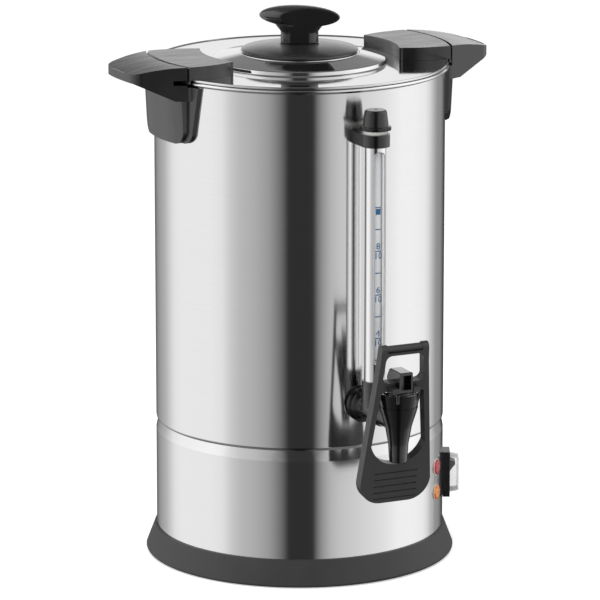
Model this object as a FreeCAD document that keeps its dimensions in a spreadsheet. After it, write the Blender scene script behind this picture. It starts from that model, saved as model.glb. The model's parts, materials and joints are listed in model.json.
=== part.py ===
import FreeCAD, Part
import math
import os
import Sketcher

# A coffee urn of about eight litres: a steel tank on a plastic base, with a lid that locks under two
# side handles, a gauge glass and a lever tap at the front, and a percolator inside.
# Frame: +Z up, origin on the tank's axis at table level, the tap towards -Y, the handles along X.

Vector = FreeCAD.Vector
Rotation = FreeCAD.Rotation
Placement = FreeCAD.Placement

doc = FreeCAD.newDocument("coffee_urn")
sheet = doc.addObject("Spreadsheet::Sheet", "Sizes")

# Driving dimensions in millimetres and degrees
DRIVING = [
    ("tank_radius", 120.0),
    ("sheet_gauge", 0.8),
    ("rim_height", 412.4),
    ("rim_bead", 1.6),
    ("wall_foot", 113.9),
    ("joggle_depth", 1.7),
    ("skirt_foot", 16.0),
    ("neck_top", 121.5),
    ("floor_height", 122.8),
    ("well_radius", 34.4),
    ("well_depth", 8.0),
    ("fit_gap", 0.05),
    ("base_lip_radius", 121.6),
    ("base_lip_height", 22.1),
    ("base_foot_radius", 128.9),
    ("base_bore", 108.0),
    ("lid_height", 414.0),
    ("lid_radius", 122.4),
    ("lid_step_radius", 73.4),
    ("lid_crown_height", 422.8),
    ("disc_radius", 48.2),
    ("knob_foot_height", 429.5),
    ("knob_middle_height", 452.4),
    ("knob_reach", 34.2),
    ("knob_half_depth", 8.9),
    ("knob_half_height", 9.0),
    ("ear_height", 425.0),
    ("ear_outer_radius", 125.2),
    ("ear_inner_radius", 82.0),
    ("handle_inner_radius", 126.6),
    ("handle_reach", 163.5),
    ("handle_foot", 360.0),
    ("gauge_reach", 143.5),
    ("gauge_tube_radius", 5.5),
    ("gauge_half_width", 11.5),
    ("shield_radius", 8.6),
    ("shield_foot", 176.4),
    ("bracket_foot", 369.0),
    ("bracket_height", 10.2),
    ("tap_reach", 187.0),
    ("tap_height", 151.5),
    ("tap_seam_height", 165.5),
    ("spout_foot", 119.2),
    ("water_bore", 4.5),
    ("pivot_reach", 191.0),
    ("pivot_height", 184.0),
    ("lever_lean", 9.1),
    ("lever_depth", 8.4),
    ("lever_arm_width", 4.6),
    ("lever_foot", -100.8),
    ("pin_radius", 1.5),
    ("stem_head_half_width", 5.9),
    ("stem_head_front", 9.8),
    ("stem_head_back", 8.6),
    ("stem_head_top", 195.8),
    ("switch_angle", 65.0),
    ("switch_height", 63.7),
    ("switch_face", 126.0),
    ("lamp_angle", 46.0),
    ("lamp_height", 57.0),
    ("lamp_pitch", 21.8),
    ("basket_foot", 240.0),
    ("basket_height", 88.8),
    ("basket_radius", 72.0),
    ("perc_stem_radius", 4.5),
    ("perc_stem_top", 392.0),
    ("heater_radius", 33.0),
    ("heater_depth", 14.0),
    ("plate_height", 4.0),
    ("plate_gauge", 1.2),
    ("stud_radius", 3.0),
]


class Size:
    """A measure worked out from the sheet: its present value and the formula that binds it."""

    def __init__(self, value, formula):
        self.value = float(value)
        self.formula = formula

    def __add__(self, other):
        other = as_size(other)
        return Size(self.value + other.value, "(" + self.formula + " + " + other.formula + ")")

    def __radd__(self, other):
        return as_size(other) + self

    def __sub__(self, other):
        other = as_size(other)
        return Size(self.value - other.value, "(" + self.formula + " - " + other.formula + ")")

    def __rsub__(self, other):
        return as_size(other) - self

    def __mul__(self, other):
        other = as_size(other)
        return Size(self.value * other.value, "(" + self.formula + " * " + other.formula + ")")

    def __rmul__(self, other):
        return as_size(other) * self

    def __truediv__(self, other):
        other = as_size(other)
        return Size(self.value / other.value, "(" + self.formula + " / " + other.formula + ")")

    def __neg__(self):
        return Size(-self.value, "(0 - " + self.formula + ")")


def as_size(measure):
    if isinstance(measure, Size):
        return measure
    return Size(measure, format(float(measure), ".6f"))


def sine(angle):
    return Size(math.sin(math.radians(angle.value)), "sin(" + angle.formula + " * 1 deg)")


def cosine(angle):
    return Size(math.cos(math.radians(angle.value)), "cos(" + angle.formula + " * 1 deg)")


class Sizes:
    """The sheet's cells as measures, one attribute for each alias."""


def fill_sheet():
    cells = Sizes()
    for row, (alias, number) in enumerate(DRIVING, start=1):
        sheet.set("A" + str(row), alias)
        sheet.set("B" + str(row), str(number))
        sheet.setAlias("B" + str(row), alias)
        setattr(cells, alias, Size(number, "Sizes." + alias))
    doc.recompute()
    return cells


size = fill_sheet()
nodes = []

ALONG_X = Vector(1, 0, 0)
ALONG_Y = Vector(0, 1, 0)
ALONG_Z = Vector(0, 0, 1)
UPRIGHT = Rotation()
TOWARDS_TAP = Rotation(ALONG_X, 90)
TOWARDS_RIGHT = Rotation(ALONG_Y, 90)


def outwards(angle):
    """Turn a piece drawn along Z to point away from the tank, at an angle from the tap."""
    return Rotation(ALONG_Z, angle) * TOWARDS_TAP


def bind(thing, name, measure):
    """Set a property and tie it to the sheet."""
    measure = as_size(measure)
    thing.setExpression(name, measure.formula)


def place(thing, x=0, y=0, z=0, rotation=UPRIGHT):
    spots = [as_size(spot) for spot in (x, y, z)]
    thing.Placement = Placement(Vector(*[spot.value for spot in spots]), rotation)
    for axis, spot in zip("xyz", spots):
        thing.setExpression("Placement.Base." + axis, spot.formula)
    return thing


def node(thing, label):
    """Keep a finished sub-part under the name of its file."""
    thing.Label = label
    nodes.append(thing)
    return thing


# Sketches and bodies

def arc_between(start, end, radius):
    """The short arc from start to end, turning left for a positive radius and right otherwise."""
    chord = end - start
    middle = (start + end) * 0.5
    side = Vector(-chord.y, chord.x, 0).normalize()
    rise = math.sqrt(max(radius * radius - chord.Length ** 2 / 4, 0))
    centre = middle + side * math.copysign(rise, radius)
    first, last = (start, end) if radius > 0 else (end, start)
    angles = [math.atan2(spot.y - centre.y, spot.x - centre.x) for spot in (first, last)]
    circle = Part.Circle(centre, ALONG_Z, abs(radius))
    return Part.ArcOfCircle(circle, angles[0], angles[1])


def draw(sketch, outline):
    """Draw a closed outline of corners (across, up) or (across, up, radius of the side that follows)."""
    corners = [tuple(as_size(number) for number in corner) for corner in outline]
    spots = [Vector(corner[0].value, corner[1].value, 0) for corner in corners]
    offset = sketch.GeometryCount
    count = len(corners)
    first_end = []
    last_end = []
    for index, corner in enumerate(corners):
        start = spots[index]
        end = spots[(index + 1) % count]
        if len(corner) == 3:
            sketch.addGeometry(arc_between(start, end, corner[2].value), False)
        else:
            sketch.addGeometry(Part.LineSegment(start, end), False)
        backwards = len(corner) == 3 and corner[2].value < 0
        first_end.append(2 if backwards else 1)
        last_end.append(1 if backwards else 2)
    for index, corner in enumerate(corners):
        this = offset + index
        following = (index + 1) % count
        sketch.addConstraint(Sketcher.Constraint(
            "Coincident", this, last_end[index], offset + following, first_end[following]))
        across = sketch.addConstraint(Sketcher.Constraint(
            "DistanceX", -1, 1, this, first_end[index], corner[0].value))
        sketch.setExpression("Constraints[%d]" % across, corner[0].formula)
        up = sketch.addConstraint(Sketcher.Constraint(
            "DistanceY", -1, 1, this, first_end[index], corner[1].value))
        sketch.setExpression("Constraints[%d]" % up, corner[1].formula)
        if len(corner) == 3:
            bend = corner[2] if corner[2].value > 0 else -corner[2]
            radius = sketch.addConstraint(Sketcher.Constraint("Radius", this, bend.value))
            sketch.setExpression("Constraints[%d]" % radius, bend.formula)


def draw_circle(sketch, across, up, radius):
    across, up, radius = [as_size(number) for number in (across, up, radius)]
    circle = Part.Circle(Vector(across.value, up.value, 0), ALONG_Z, radius.value)
    index = sketch.addGeometry(circle, False)
    for kind, measure in (("DistanceX", across), ("DistanceY", up)):
        number = sketch.addConstraint(Sketcher.Constraint(kind, -1, 1, index, 3, measure.value))
        sketch.setExpression("Constraints[%d]" % number, measure.formula)
    number = sketch.addConstraint(Sketcher.Constraint("Radius", index, radius.value))
    sketch.setExpression("Constraints[%d]" % number, radius.formula)


def new_body(name):
    return doc.addObject("PartDesign::Body", name)


def new_sketch(body, plane, offset=0):
    sketch = body.newObject("Sketcher::SketchObject", body.Name + "_sketch")
    planes = [feature for feature in body.Origin.OriginFeatures if feature.Role == plane]
    sketch.AttachmentSupport = [(planes[0], "")]
    sketch.MapMode = "FlatFace"
    offset = as_size(offset)
    sketch.AttachmentOffset = Placement(Vector(0, 0, offset.value), UPRIGHT)
    sketch.setExpression("AttachmentOffset.Base.z", offset.formula)
    return sketch


def revolved(name, outline, sweep=360):
    """A body turned about Z from an outline of (radius, height) corners."""
    body = new_body(name)
    sketch = new_sketch(body, "XZ_Plane")
    draw(sketch, outline)
    turn = body.newObject("PartDesign::Revolution", name + "_turn")
    turn.Profile = sketch
    turn.ReferenceAxis = (sketch, ["V_Axis"])
    turn.Angle = sweep
    return body


def add_pad(body, plane, outline, length, offset=0, both_ways=False, taper=0):
    sketch = new_sketch(body, plane, offset)
    draw(sketch, outline)
    pad = body.newObject("PartDesign::Pad", body.Name + "_pad")
    pad.Profile = sketch
    pad.Midplane = both_ways
    pad.TaperAngle = taper
    bind(pad, "Length", length)
    return pad


def padded(name, plane, outline, length, offset=0, both_ways=False, taper=0):
    """A body padded from an outline, from an offset along the plane's normal."""
    body = new_body(name)
    add_pad(body, plane, outline, length, offset, both_ways, taper)
    return body


def pocket_through(body, plane, outlines, offset=0):
    """Cut openings right through a body, both ways from the sketch."""
    sketch = new_sketch(body, plane, offset)
    for outline in outlines:
        draw(sketch, outline)
    pocket = body.newObject("PartDesign::Pocket", body.Name + "_pocket")
    pocket.Profile = sketch
    pocket.Type = "ThroughAll"
    pocket.Midplane = True
    return pocket


def ring_of_holes(body, height, ring_radius, hole_radius, count):
    """Pierce a level floor with a ring of round holes."""
    doc.recompute()
    sketch = new_sketch(body, "XY_Plane", height)
    draw_circle(sketch, ring_radius, 0, hole_radius)
    pocket = body.newObject("PartDesign::Pocket", body.Name + "_hole")
    pocket.Profile = sketch
    pocket.Length = 4
    pocket.Midplane = True
    pattern = body.newObject("PartDesign::PolarPattern", body.Name + "_ring")
    pattern.Originals = [pocket]
    axes = [feature for feature in body.Origin.OriginFeatures if feature.Role == "Z_Axis"]
    pattern.Axis = (axes[0], [""])
    pattern.Angle = 360
    pattern.Occurrences = count
    body.Tip = pattern
    return pattern


# Primitives and booleans

def cylinder(name, radius, height, x=0, y=0, z=0, rotation=UPRIGHT):
    thing = doc.addObject("Part::Cylinder", name)
    bind(thing, "Radius", radius)
    bind(thing, "Height", height)
    return place(thing, x, y, z, rotation)


def radial_cylinder(name, radius, inner, outer, angle, height):
    """A cylinder that points away from the tank's axis, between two distances from it."""
    length = as_size(outer) - inner
    turn = outwards(angle)
    away = turn.multVec(ALONG_Z)
    inner = as_size(inner)
    return cylinder(name, radius, length, inner * away.x, inner * away.y, height, turn)


def box(name, length, width, height, x=0, y=0, z=0, rotation=UPRIGHT):
    """A box whose middle stands on the given spot."""
    thing = doc.addObject("Part::Box", name)
    bind(thing, "Length", length)
    bind(thing, "Width", width)
    bind(thing, "Height", height)
    length = as_size(length)
    width = as_size(width)
    corner = rotation.multVec(Vector(length.value / 2, width.value / 2, 0))
    if rotation.isSame(UPRIGHT, 1e-9):
        return place(thing, as_size(x) - length / 2, as_size(y) - width / 2, z)
    return place(thing, as_size(x) - corner.x, as_size(y) - corner.y, as_size(z) - corner.z, rotation)


def torus(name, ring_radius, tube_radius, z):
    thing = doc.addObject("Part::Torus", name)
    bind(thing, "Radius1", ring_radius)
    bind(thing, "Radius2", tube_radius)
    return place(thing, 0, 0, z)


def fused(name, pieces):
    thing = doc.addObject("Part::MultiFuse", name)
    thing.Shapes = pieces
    thing.Refine = True
    return thing


def cut(name, base, tools):
    thing = doc.addObject("Part::Cut", name)
    thing.Base = base
    thing.Tool = tools[0] if len(tools) == 1 else fused(name + "_tools", tools)
    thing.Refine = True
    return thing


def common(name, pieces):
    thing = doc.addObject("Part::MultiCommon", name)
    thing.Shapes = pieces
    thing.Refine = True
    return thing


def mirrored(name, source, normal=ALONG_X):
    """The same piece seen in a mirror that stands on the tank's axis."""
    thing = doc.addObject("Part::Mirroring", name)
    thing.Source = source
    thing.Normal = normal
    thing.Base = Vector(0, 0, 0)
    return thing


def group(name, pieces):
    """Identical loose pieces that share one node."""
    thing = doc.addObject("Part::Compound", name)
    thing.Links = pieces
    return thing


def hexagon(name, across_flats, height, x=0, y=0, z=0, rotation=UPRIGHT):
    thing = doc.addObject("Part::Prism", name)
    thing.Polygon = 6
    bind(thing, "Circumradius", as_size(across_flats) / math.sqrt(3))
    bind(thing, "Height", height)
    return place(thing, x, y, z, rotation)


# Tank

HANDLE_SCREW_HEIGHTS = (374.0, 398.0)
HANDLE_SCREW_RADIUS = 2.0
HANDLE_SIDES = (90, -90)
SHANK_THREAD_RADIUS = 8.5
BRACKET_SCREW_RADIUS = 2.0


def tank_wall():
    outer = size.tank_radius
    inner = outer - size.sheet_gauge
    rim = size.rim_height
    bead = size.rim_bead
    body = revolved("tank_wall_body", [
        (inner, size.wall_foot),
        (outer, size.wall_foot),
        (outer, rim - 2.4 * bead),
        (outer + bead, rim - 2 * bead, bead),
        (outer + 2 * bead, rim - bead, bead),
        (outer + bead, rim),
        (outer, rim),
        (inner, rim - size.sheet_gauge),
    ])
    holes = [radial_cylinder("shank_hole", SHANK_THREAD_RADIUS + 0.2, 100, 140, 0, size.tap_height)]
    bracket_middle = size.bracket_foot + size.bracket_height / 2
    holes.append(radial_cylinder("bracket_hole", BRACKET_SCREW_RADIUS + 0.2, 100, 140, 0, bracket_middle))
    for side in HANDLE_SIDES:
        for height in HANDLE_SCREW_HEIGHTS:
            holes.append(radial_cylinder("handle_hole", HANDLE_SCREW_RADIUS + 0.2, 100, 140, side, height))
    node(cut("tank_wall_cut", body, holes), "tank_wall")


def tank_floor():
    gauge = size.sheet_gauge
    rim = size.tank_radius - gauge - size.fit_gap
    top = size.floor_height
    well = size.well_radius
    bottom = top - size.well_depth
    floor = revolved("tank_floor_body", [
        (0, bottom - gauge),
        (well + 0.4, bottom - gauge),
        (well + 3.4, top - gauge),
        (rim - gauge, top - gauge),
        (rim - gauge, top - 7.8),
        (rim, top - 7.8),
        (rim, top),
        (well + 3, top),
        (well, bottom),
        (0, bottom),
    ])
    node(floor, "tank_floor")


def skirt():
    outer = size.tank_radius
    gauge = size.sheet_gauge
    neck = outer - size.joggle_depth
    joggle_foot = size.wall_foot - 8.9
    body = revolved("skirt_body", [
        (outer - gauge, size.skirt_foot),
        (outer, size.skirt_foot),
        (outer, joggle_foot),
        (neck, size.wall_foot),
        (neck, size.neck_top),
        (neck - gauge, size.neck_top),
        (neck - gauge, size.wall_foot - 0.2),
        (outer - gauge, joggle_foot - 0.2),
    ])
    turn = outwards(size.switch_angle.value)
    away = turn.multVec(ALONG_Z)
    window = box("switch_window", 17.8, 36.6, 20, 105 * away.x, 105 * away.y, size.switch_height, turn)
    openings = [window]
    for step in (0, 1):
        height = size.lamp_height + step * size.lamp_pitch
        openings.append(radial_cylinder("lamp_hole", 5.55, 105, 125, size.lamp_angle.value, height))
    openings.append(radial_cylinder("gland_hole", GLAND_NECK_RADIUS + 0.1, 105, 125, 180, GLAND_HEIGHT))
    node(cut("skirt_cut", body, openings), "skirt")


# Base

BASE_FLOOR = 0.6
FOOT_RING_INNER = 115.0
FOOT_RING_OUTER = 121.0
FOOT_RING_TOP = 2.5
BASE_SCREW_RING = 112.0
BASE_SCREW_COUNT = 4
GLAND_HEIGHT = 38.0
GLAND_NECK_RADIUS = 8.0


def base_screw_spots():
    for step in range(BASE_SCREW_COUNT):
        angle = math.radians(45 + 360 / BASE_SCREW_COUNT * step)
        yield BASE_SCREW_RING * math.cos(angle), BASE_SCREW_RING * math.sin(angle)


def base_ring():
    lip = size.base_lip_radius
    seat = size.tank_radius + size.fit_gap
    foot = size.base_foot_radius
    shelf = size.skirt_foot
    body = revolved("base_ring_body", [
        (seat, shelf),
        (seat - 6, shelf),
        (seat - 6, shelf - 3),
        (lip - 1, shelf - 3),
        (foot - 3.6, size.plate_height),
        (size.base_bore, size.plate_height),
        (size.base_bore, BASE_FLOOR),
        (FOOT_RING_INNER, BASE_FLOOR),
        (FOOT_RING_INNER, FOOT_RING_TOP),
        (FOOT_RING_OUTER, FOOT_RING_TOP),
        (FOOT_RING_OUTER, BASE_FLOOR),
        (foot - 2.4, BASE_FLOOR, 2.4),
        (foot, BASE_FLOOR + 2.4),
        (lip, size.base_lip_height),
        (seat, size.base_lip_height),
    ])
    tools = []
    for x, y in base_screw_spots():
        tools.append(cylinder("screw_hole", 1.6, 10, x, y, 0))
        tools.append(cylinder("screw_seat", 2.8, 2.4, x, y, 0))
    node(cut("base_ring_cut", body, tools), "base_ring")


def foot_ring():
    ring = revolved("foot_ring_body", [
        (FOOT_RING_INNER, 0),
        (FOOT_RING_OUTER, 0),
        (FOOT_RING_OUTER, FOOT_RING_TOP),
        (FOOT_RING_INNER, FOOT_RING_TOP),
    ])
    node(ring, "foot_ring")


def base_plate():
    height = size.plate_height
    disc = cylinder("base_disc", 117, size.plate_gauge, 0, 0, height)
    tools = [cylinder("stud_hole", size.stud_radius + 0.2, 10, 0, 0, 0)]
    for x, y in base_screw_spots():
        tools.append(cylinder("screw_hole", 1.6, 10, x, y, 0))
    for step in range(8):
        turn = Rotation(ALONG_Z, 45 * step + 22.5)
        spot = turn.multVec(Vector(70, 0, 0))
        tools.append(box("vent", 40, 6, 10, spot.x, spot.y, 0, turn))
    node(cut("base_plate_cut", disc, tools), "base_plate")


def base_fasteners():
    screws = []
    nuts = []
    plate_top = size.plate_height + size.plate_gauge
    for x, y in base_screw_spots():
        screw = revolved("base_screw", [
            (0, 0.9),
            (2.2, 0.9, 0.7),
            (2.7, 1.4),
            (2.7, 2.4),
            (1.6, 2.4),
            (1.6, 8.6),
            (0, 8.6),
        ])
        screws.append(place(screw, x, y, 0))
        nut = hexagon("nut", 5.5, 2.4, x, y, plate_top)
        nuts.append(cut("base_nut", nut, [cylinder("thread", 1.6, 10, x, y, 0)]))
    node(group("base_screws_group", screws), "base_screws")
    node(group("base_nuts_group", nuts), "base_nuts")


def centre_stud():
    top = size.floor_height - size.well_depth - size.sheet_gauge - size.heater_depth
    stud = cylinder("stud", size.stud_radius, top - 1, 0, 0, 1)
    node(stud, "centre_stud")
    nut = hexagon("centre_nut_blank", 10, 2.6, 0, 0, size.plate_height - 2.6)
    node(cut("centre_nut_cut", nut, [cylinder("thread", size.stud_radius, 10, 0, 0, 0)]), "centre_nut")


# Heating and wiring

def heating():
    underside = size.floor_height - size.sheet_gauge
    well_underside = underside - size.well_depth
    block = cylinder("heater", size.heater_radius, size.heater_depth, 0, 0, well_underside - size.heater_depth)
    node(block, "brew_element")
    tube = 3.2
    ring = torus("warm_ring", 84, tube, underside - tube)
    tails = []
    for side in (-1, 1):
        tails.append(cylinder("tail", 2.2, 14, side * 8, 83, underside - tube - 14))
    node(fused("warm_element_fuse", [ring] + tails), "warm_element")
    clamps = []
    for angle in (30, 150, 270):
        turn = Rotation(ALONG_Z, angle)
        spot = turn.multVec(Vector(84, 0, 0))
        strap = box("strap", 26, 10, 7.4, spot.x, spot.y, underside - 7.4, turn)
        groove = box("groove", 8, 12, 6.4, spot.x, spot.y, underside - 6.4, turn)
        clamps.append(cut("clamp", strap, [groove]))
    node(group("element_clamps_group", clamps), "element_clamps")
    stat = revolved("thermostat_body", [
        (0, underside - 12),
        (3, underside - 12),
        (3, underside - 9),
        (9, underside - 9),
        (9, underside),
        (0, underside),
    ])
    node(place(stat, -58, 0, 0), "thermostat")
    fuse = cylinder("fuse", 2.2, 14, 51, 0, underside - 2.2, TOWARDS_RIGHT)
    node(fuse, "thermal_fuse")


def terminal_block():
    plate_top = size.plate_height + size.plate_gauge
    block = box("block", 42, 18, 14, 0, 78, plate_top)
    wells = [cylinder("well", 3, 8, x, 78, plate_top + 8) for x in (-14, 0, 14)]
    node(cut("terminal_block_cut", block, wells), "terminal_block")


def cord_gland():
    bore = 4.0
    wall = size.tank_radius + size.fit_gap
    gland = revolved("gland_body", [
        (bore, wall - 9),
        (10, wall - 9),
        (10, wall - 5),
        (GLAND_NECK_RADIUS, wall - 5),
        (GLAND_NECK_RADIUS, wall),
        (10.5, wall),
        (9.5, wall + 2.6),
        (bore, wall + 2.6),
    ])
    node(place(gland, 0, 0, GLAND_HEIGHT, outwards(180)), "cord_gland")


def lead(label, route, radius=1.1):
    """A stiff lead of straight runs joined by round bends."""
    points = [Vector(*spot) for spot in route]
    edges = []
    last = points[0]
    for before, corner, after in zip(points, points[1:], points[2:]):
        back = before - corner
        ahead = after - corner
        half_turn = (math.pi - back.getAngle(ahead)) / 2
        setback = 0.45 * min(back.Length, ahead.Length)
        start = corner + back.normalize() * setback
        end = corner + ahead.normalize() * setback
        bend = setback / math.tan(half_turn)
        inwards = (back + ahead).normalize()
        crown = corner + inwards * (math.hypot(bend, setback) - bend)
        edges.append(Part.LineSegment(last, start).toShape())
        edges.append(Part.Arc(start, crown, end).toShape())
        last = end
    edges.append(Part.LineSegment(last, points[-1]).toShape())
    path = Part.Wire(edges)
    direction = (points[1] - points[0]).normalize()
    section = Part.Wire(Part.Circle(points[0], direction, radius).toShape())
    tube = path.makePipeShell([section], True, False)
    thing = doc.addObject("Part::Feature", label)
    thing.Shape = tube
    return thing


def wiring():
    supply = [(0, 109, 38), (2, 98, 38), (12, 88, 34), (14, 78, 26), (14, 78, 15)]
    heater = [(-14, 78, 15), (-14, 78, 30), (-15, 60, 52), (-12, 34, 78), (-10, 22, 92), (-10, 20, 99.6)]
    control = [(0, 78, 15), (0, 78, 34), (-24, 50, 60), (-50, 18, 84), (-58, 0, 98), (-58, 0, 110)]
    leads = [lead("supply_lead", supply), lead("heater_lead", heater), lead("control_lead", control)]
    node(group("wiring_harness_group", leads), "wiring_harness")


# Lid

KNOB_SCREW_RADIUS = 2.5
KNOB_TURN = -25
EAR_SCREW_RADIUS = 1.8
EAR_SCREW_SPOTS = ((90.0, -20.0), (90.0, 20.0), (108.0, -24.0), (108.0, 24.0))


def ear_screw_spots():
    for x, y in EAR_SCREW_SPOTS:
        for side in (-1, 1):
            yield side * x, y


def lid_shell():
    gauge = size.sheet_gauge
    flat = size.lid_height
    step = size.lid_step_radius
    crown = size.lid_crown_height
    edge = size.lid_radius
    hem = size.tank_radius - size.sheet_gauge - 2.4
    lid = revolved("lid_body", [
        (KNOB_SCREW_RADIUS + 0.3, crown - gauge),
        (45.6, crown - gauge),
        (step - 3.6, flat + 3.2),
        (step - 1.2, flat - gauge),
        (hem - gauge, flat - gauge),
        (hem - gauge, flat - 9),
        (hem, flat - 9),
        (hem, flat - gauge),
        (edge - 1.4, flat - gauge - 0.4),
        (edge, flat - gauge - 0.3, 0.5),
        (edge - 0.6, flat - 0.35),
        (hem - 1, flat),
        (step + 0.4, flat),
        (step - 0.6, flat + 0.8),
        (step - 2.6, flat + 3.9),
        (46, crown),
        (KNOB_SCREW_RADIUS + 0.3, crown),
    ])
    holes = [cylinder("ear_hole", EAR_SCREW_RADIUS + 0.1, 20, x, y, flat - 8) for x, y in ear_screw_spots()]
    node(cut("lid_cut", lid, holes), "lid_shell")


def lid_disc():
    crown = size.lid_crown_height
    radius = size.disc_radius
    foot = size.knob_foot_height
    disc = revolved("disc_body", [
        (KNOB_SCREW_RADIUS + 0.3, crown),
        (radius - 0.8, crown),
        (radius, crown + 0.8),
        (radius, crown + 1.6),
        (radius - 1, crown + 2.4, 150),
        (17.2, foot - 0.5),
        (16.4, foot),
        (KNOB_SCREW_RADIUS + 0.3, foot),
    ])
    node(disc, "lid_disc")


def knob_oval(name, half_length, half_depth, foot, height, taper):
    """A flat oval length of the knob's stem."""
    straight = half_length - half_depth
    return padded(name, "XY_Plane", [
        (-straight, -half_depth),
        (straight, -half_depth, half_depth),
        (half_length, 0, half_depth),
        (straight, half_depth),
        (-straight, half_depth, half_depth),
        (-half_length, 0, half_depth),
    ], height, foot, False, taper)


def lid_knob():
    """A twist grip: an egg shape set askew between two flat finger faces, on a flat oval stem."""
    foot = size.knob_foot_height
    middle = size.knob_middle_height
    egg = doc.addObject("Part::Ellipsoid", "knob_egg")
    bind(egg, "Radius1", size.knob_half_height)
    bind(egg, "Radius2", size.knob_reach)
    egg.Radius3 = 14
    egg.Angle1 = -90
    egg.Angle2 = 90
    egg.Angle3 = 360
    place(egg, 0, 0, middle - 0.8, Rotation(ALONG_Z, -15))
    flare_foot = foot + 9.4
    flare = knob_oval("knob_flare", 15.3, 8.7, flare_foot, middle - 8 - flare_foot, 38)
    flats = box("knob_flats", 80, 2 * size.knob_half_depth, 30, 0, 0, middle - 15)
    grip = common("knob_grip", [fused("knob_blank", [egg, flare]), flats])
    stem = knob_oval("knob_stem", 15.8, 9.2, foot, middle - 8 - foot, -2.2)
    solid = fused("knob_fuse", [grip, stem])
    bore = cylinder("knob_bore", KNOB_SCREW_RADIUS, 14, 0, 0, foot)
    knob = node(cut("knob_cut", solid, [bore]), "lid_knob")
    place(knob, 0, 0, 0, Rotation(ALONG_Z, KNOB_TURN))


def knob_fasteners():
    under = size.lid_crown_height - size.sheet_gauge
    washer_gauge = 1.2
    washer = cylinder("washer_blank", 7, washer_gauge, 0, 0, under - washer_gauge)
    hole = cylinder("washer_hole", KNOB_SCREW_RADIUS + size.fit_gap, 10, 0, 0, under - 5)
    node(cut("knob_washer_cut", washer, [hole]), "knob_washer")
    head = under - washer_gauge
    screw = revolved("knob_screw_body", [
        (0, head - 3.2),
        (3.2, head - 3.2, 2.6),
        (4.6, head - 1.2),
        (4.6, head),
        (KNOB_SCREW_RADIUS, head),
        (KNOB_SCREW_RADIUS, size.knob_foot_height + 13),
        (0, size.knob_foot_height + 13),
    ])
    node(screw, "knob_screw")


def lid_ears():
    """The lid's lugs: plates screwed to the lid, lipped over the rim, with a foot that locks."""
    top = size.ear_height
    flat = size.lid_height
    outer = size.ear_outer_radius
    inner = size.ear_inner_radius
    foot_top = flat - 1.1
    foot_bottom = flat - 3.1
    plan = padded("ear_plan", "XY_Plane", [
        (inner - 8, -31, 3),
        (inner - 4.5, -34.5, 60),
        (102, -42, 60),
        (120, -42.5),
        (140, -42.5),
        (140, 42.5),
        (120, 42.5, 60),
        (102, 42, 60),
        (inner - 4.5, 34.5, 3),
        (inner - 8, 31),
    ], top - foot_bottom, foot_bottom)
    bowl = revolved("ear_bowl", [
        (0, foot_bottom),
        (outer + 0.8, foot_bottom),
        (outer + 0.8, foot_top),
        (outer, foot_top),
        (outer, top - 1.2),
        (outer - 1, top - 0.2),
        (0, top),
    ])
    blank = common("ear_common", [plan, bowl])
    tools = [
        cylinder("rim_room", size.tank_radius + 4.0, flat - foot_bottom + 2, 0, 0, foot_bottom - 2),
        cylinder("ear_hollow", inner, 20, 0, 0, flat - 2),
    ]
    for x, y in EAR_SCREW_SPOTS:
        tools.append(cylinder("ear_bore", EAR_SCREW_RADIUS, 7, x, y, flat))
    right = node(cut("ear_cut", blank, tools), "lid_ear_right")
    node(mirrored("ear_mirror", right), "lid_ear_left")
    screws = []
    under = flat - size.sheet_gauge
    for x, y in ear_screw_spots():
        screw = revolved("ear_screw", [
            (0, under - 2),
            (2.2, under - 2, 1.5),
            (3.2, under - 0.8),
            (3.2, under),
            (EAR_SCREW_RADIUS, under),
            (EAR_SCREW_RADIUS, flat + 6),
            (0, flat + 6),
        ])
        screws.append(place(screw, x, y, 0))
    node(group("ear_screws_group", screws), "ear_screws")


# Handles

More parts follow.
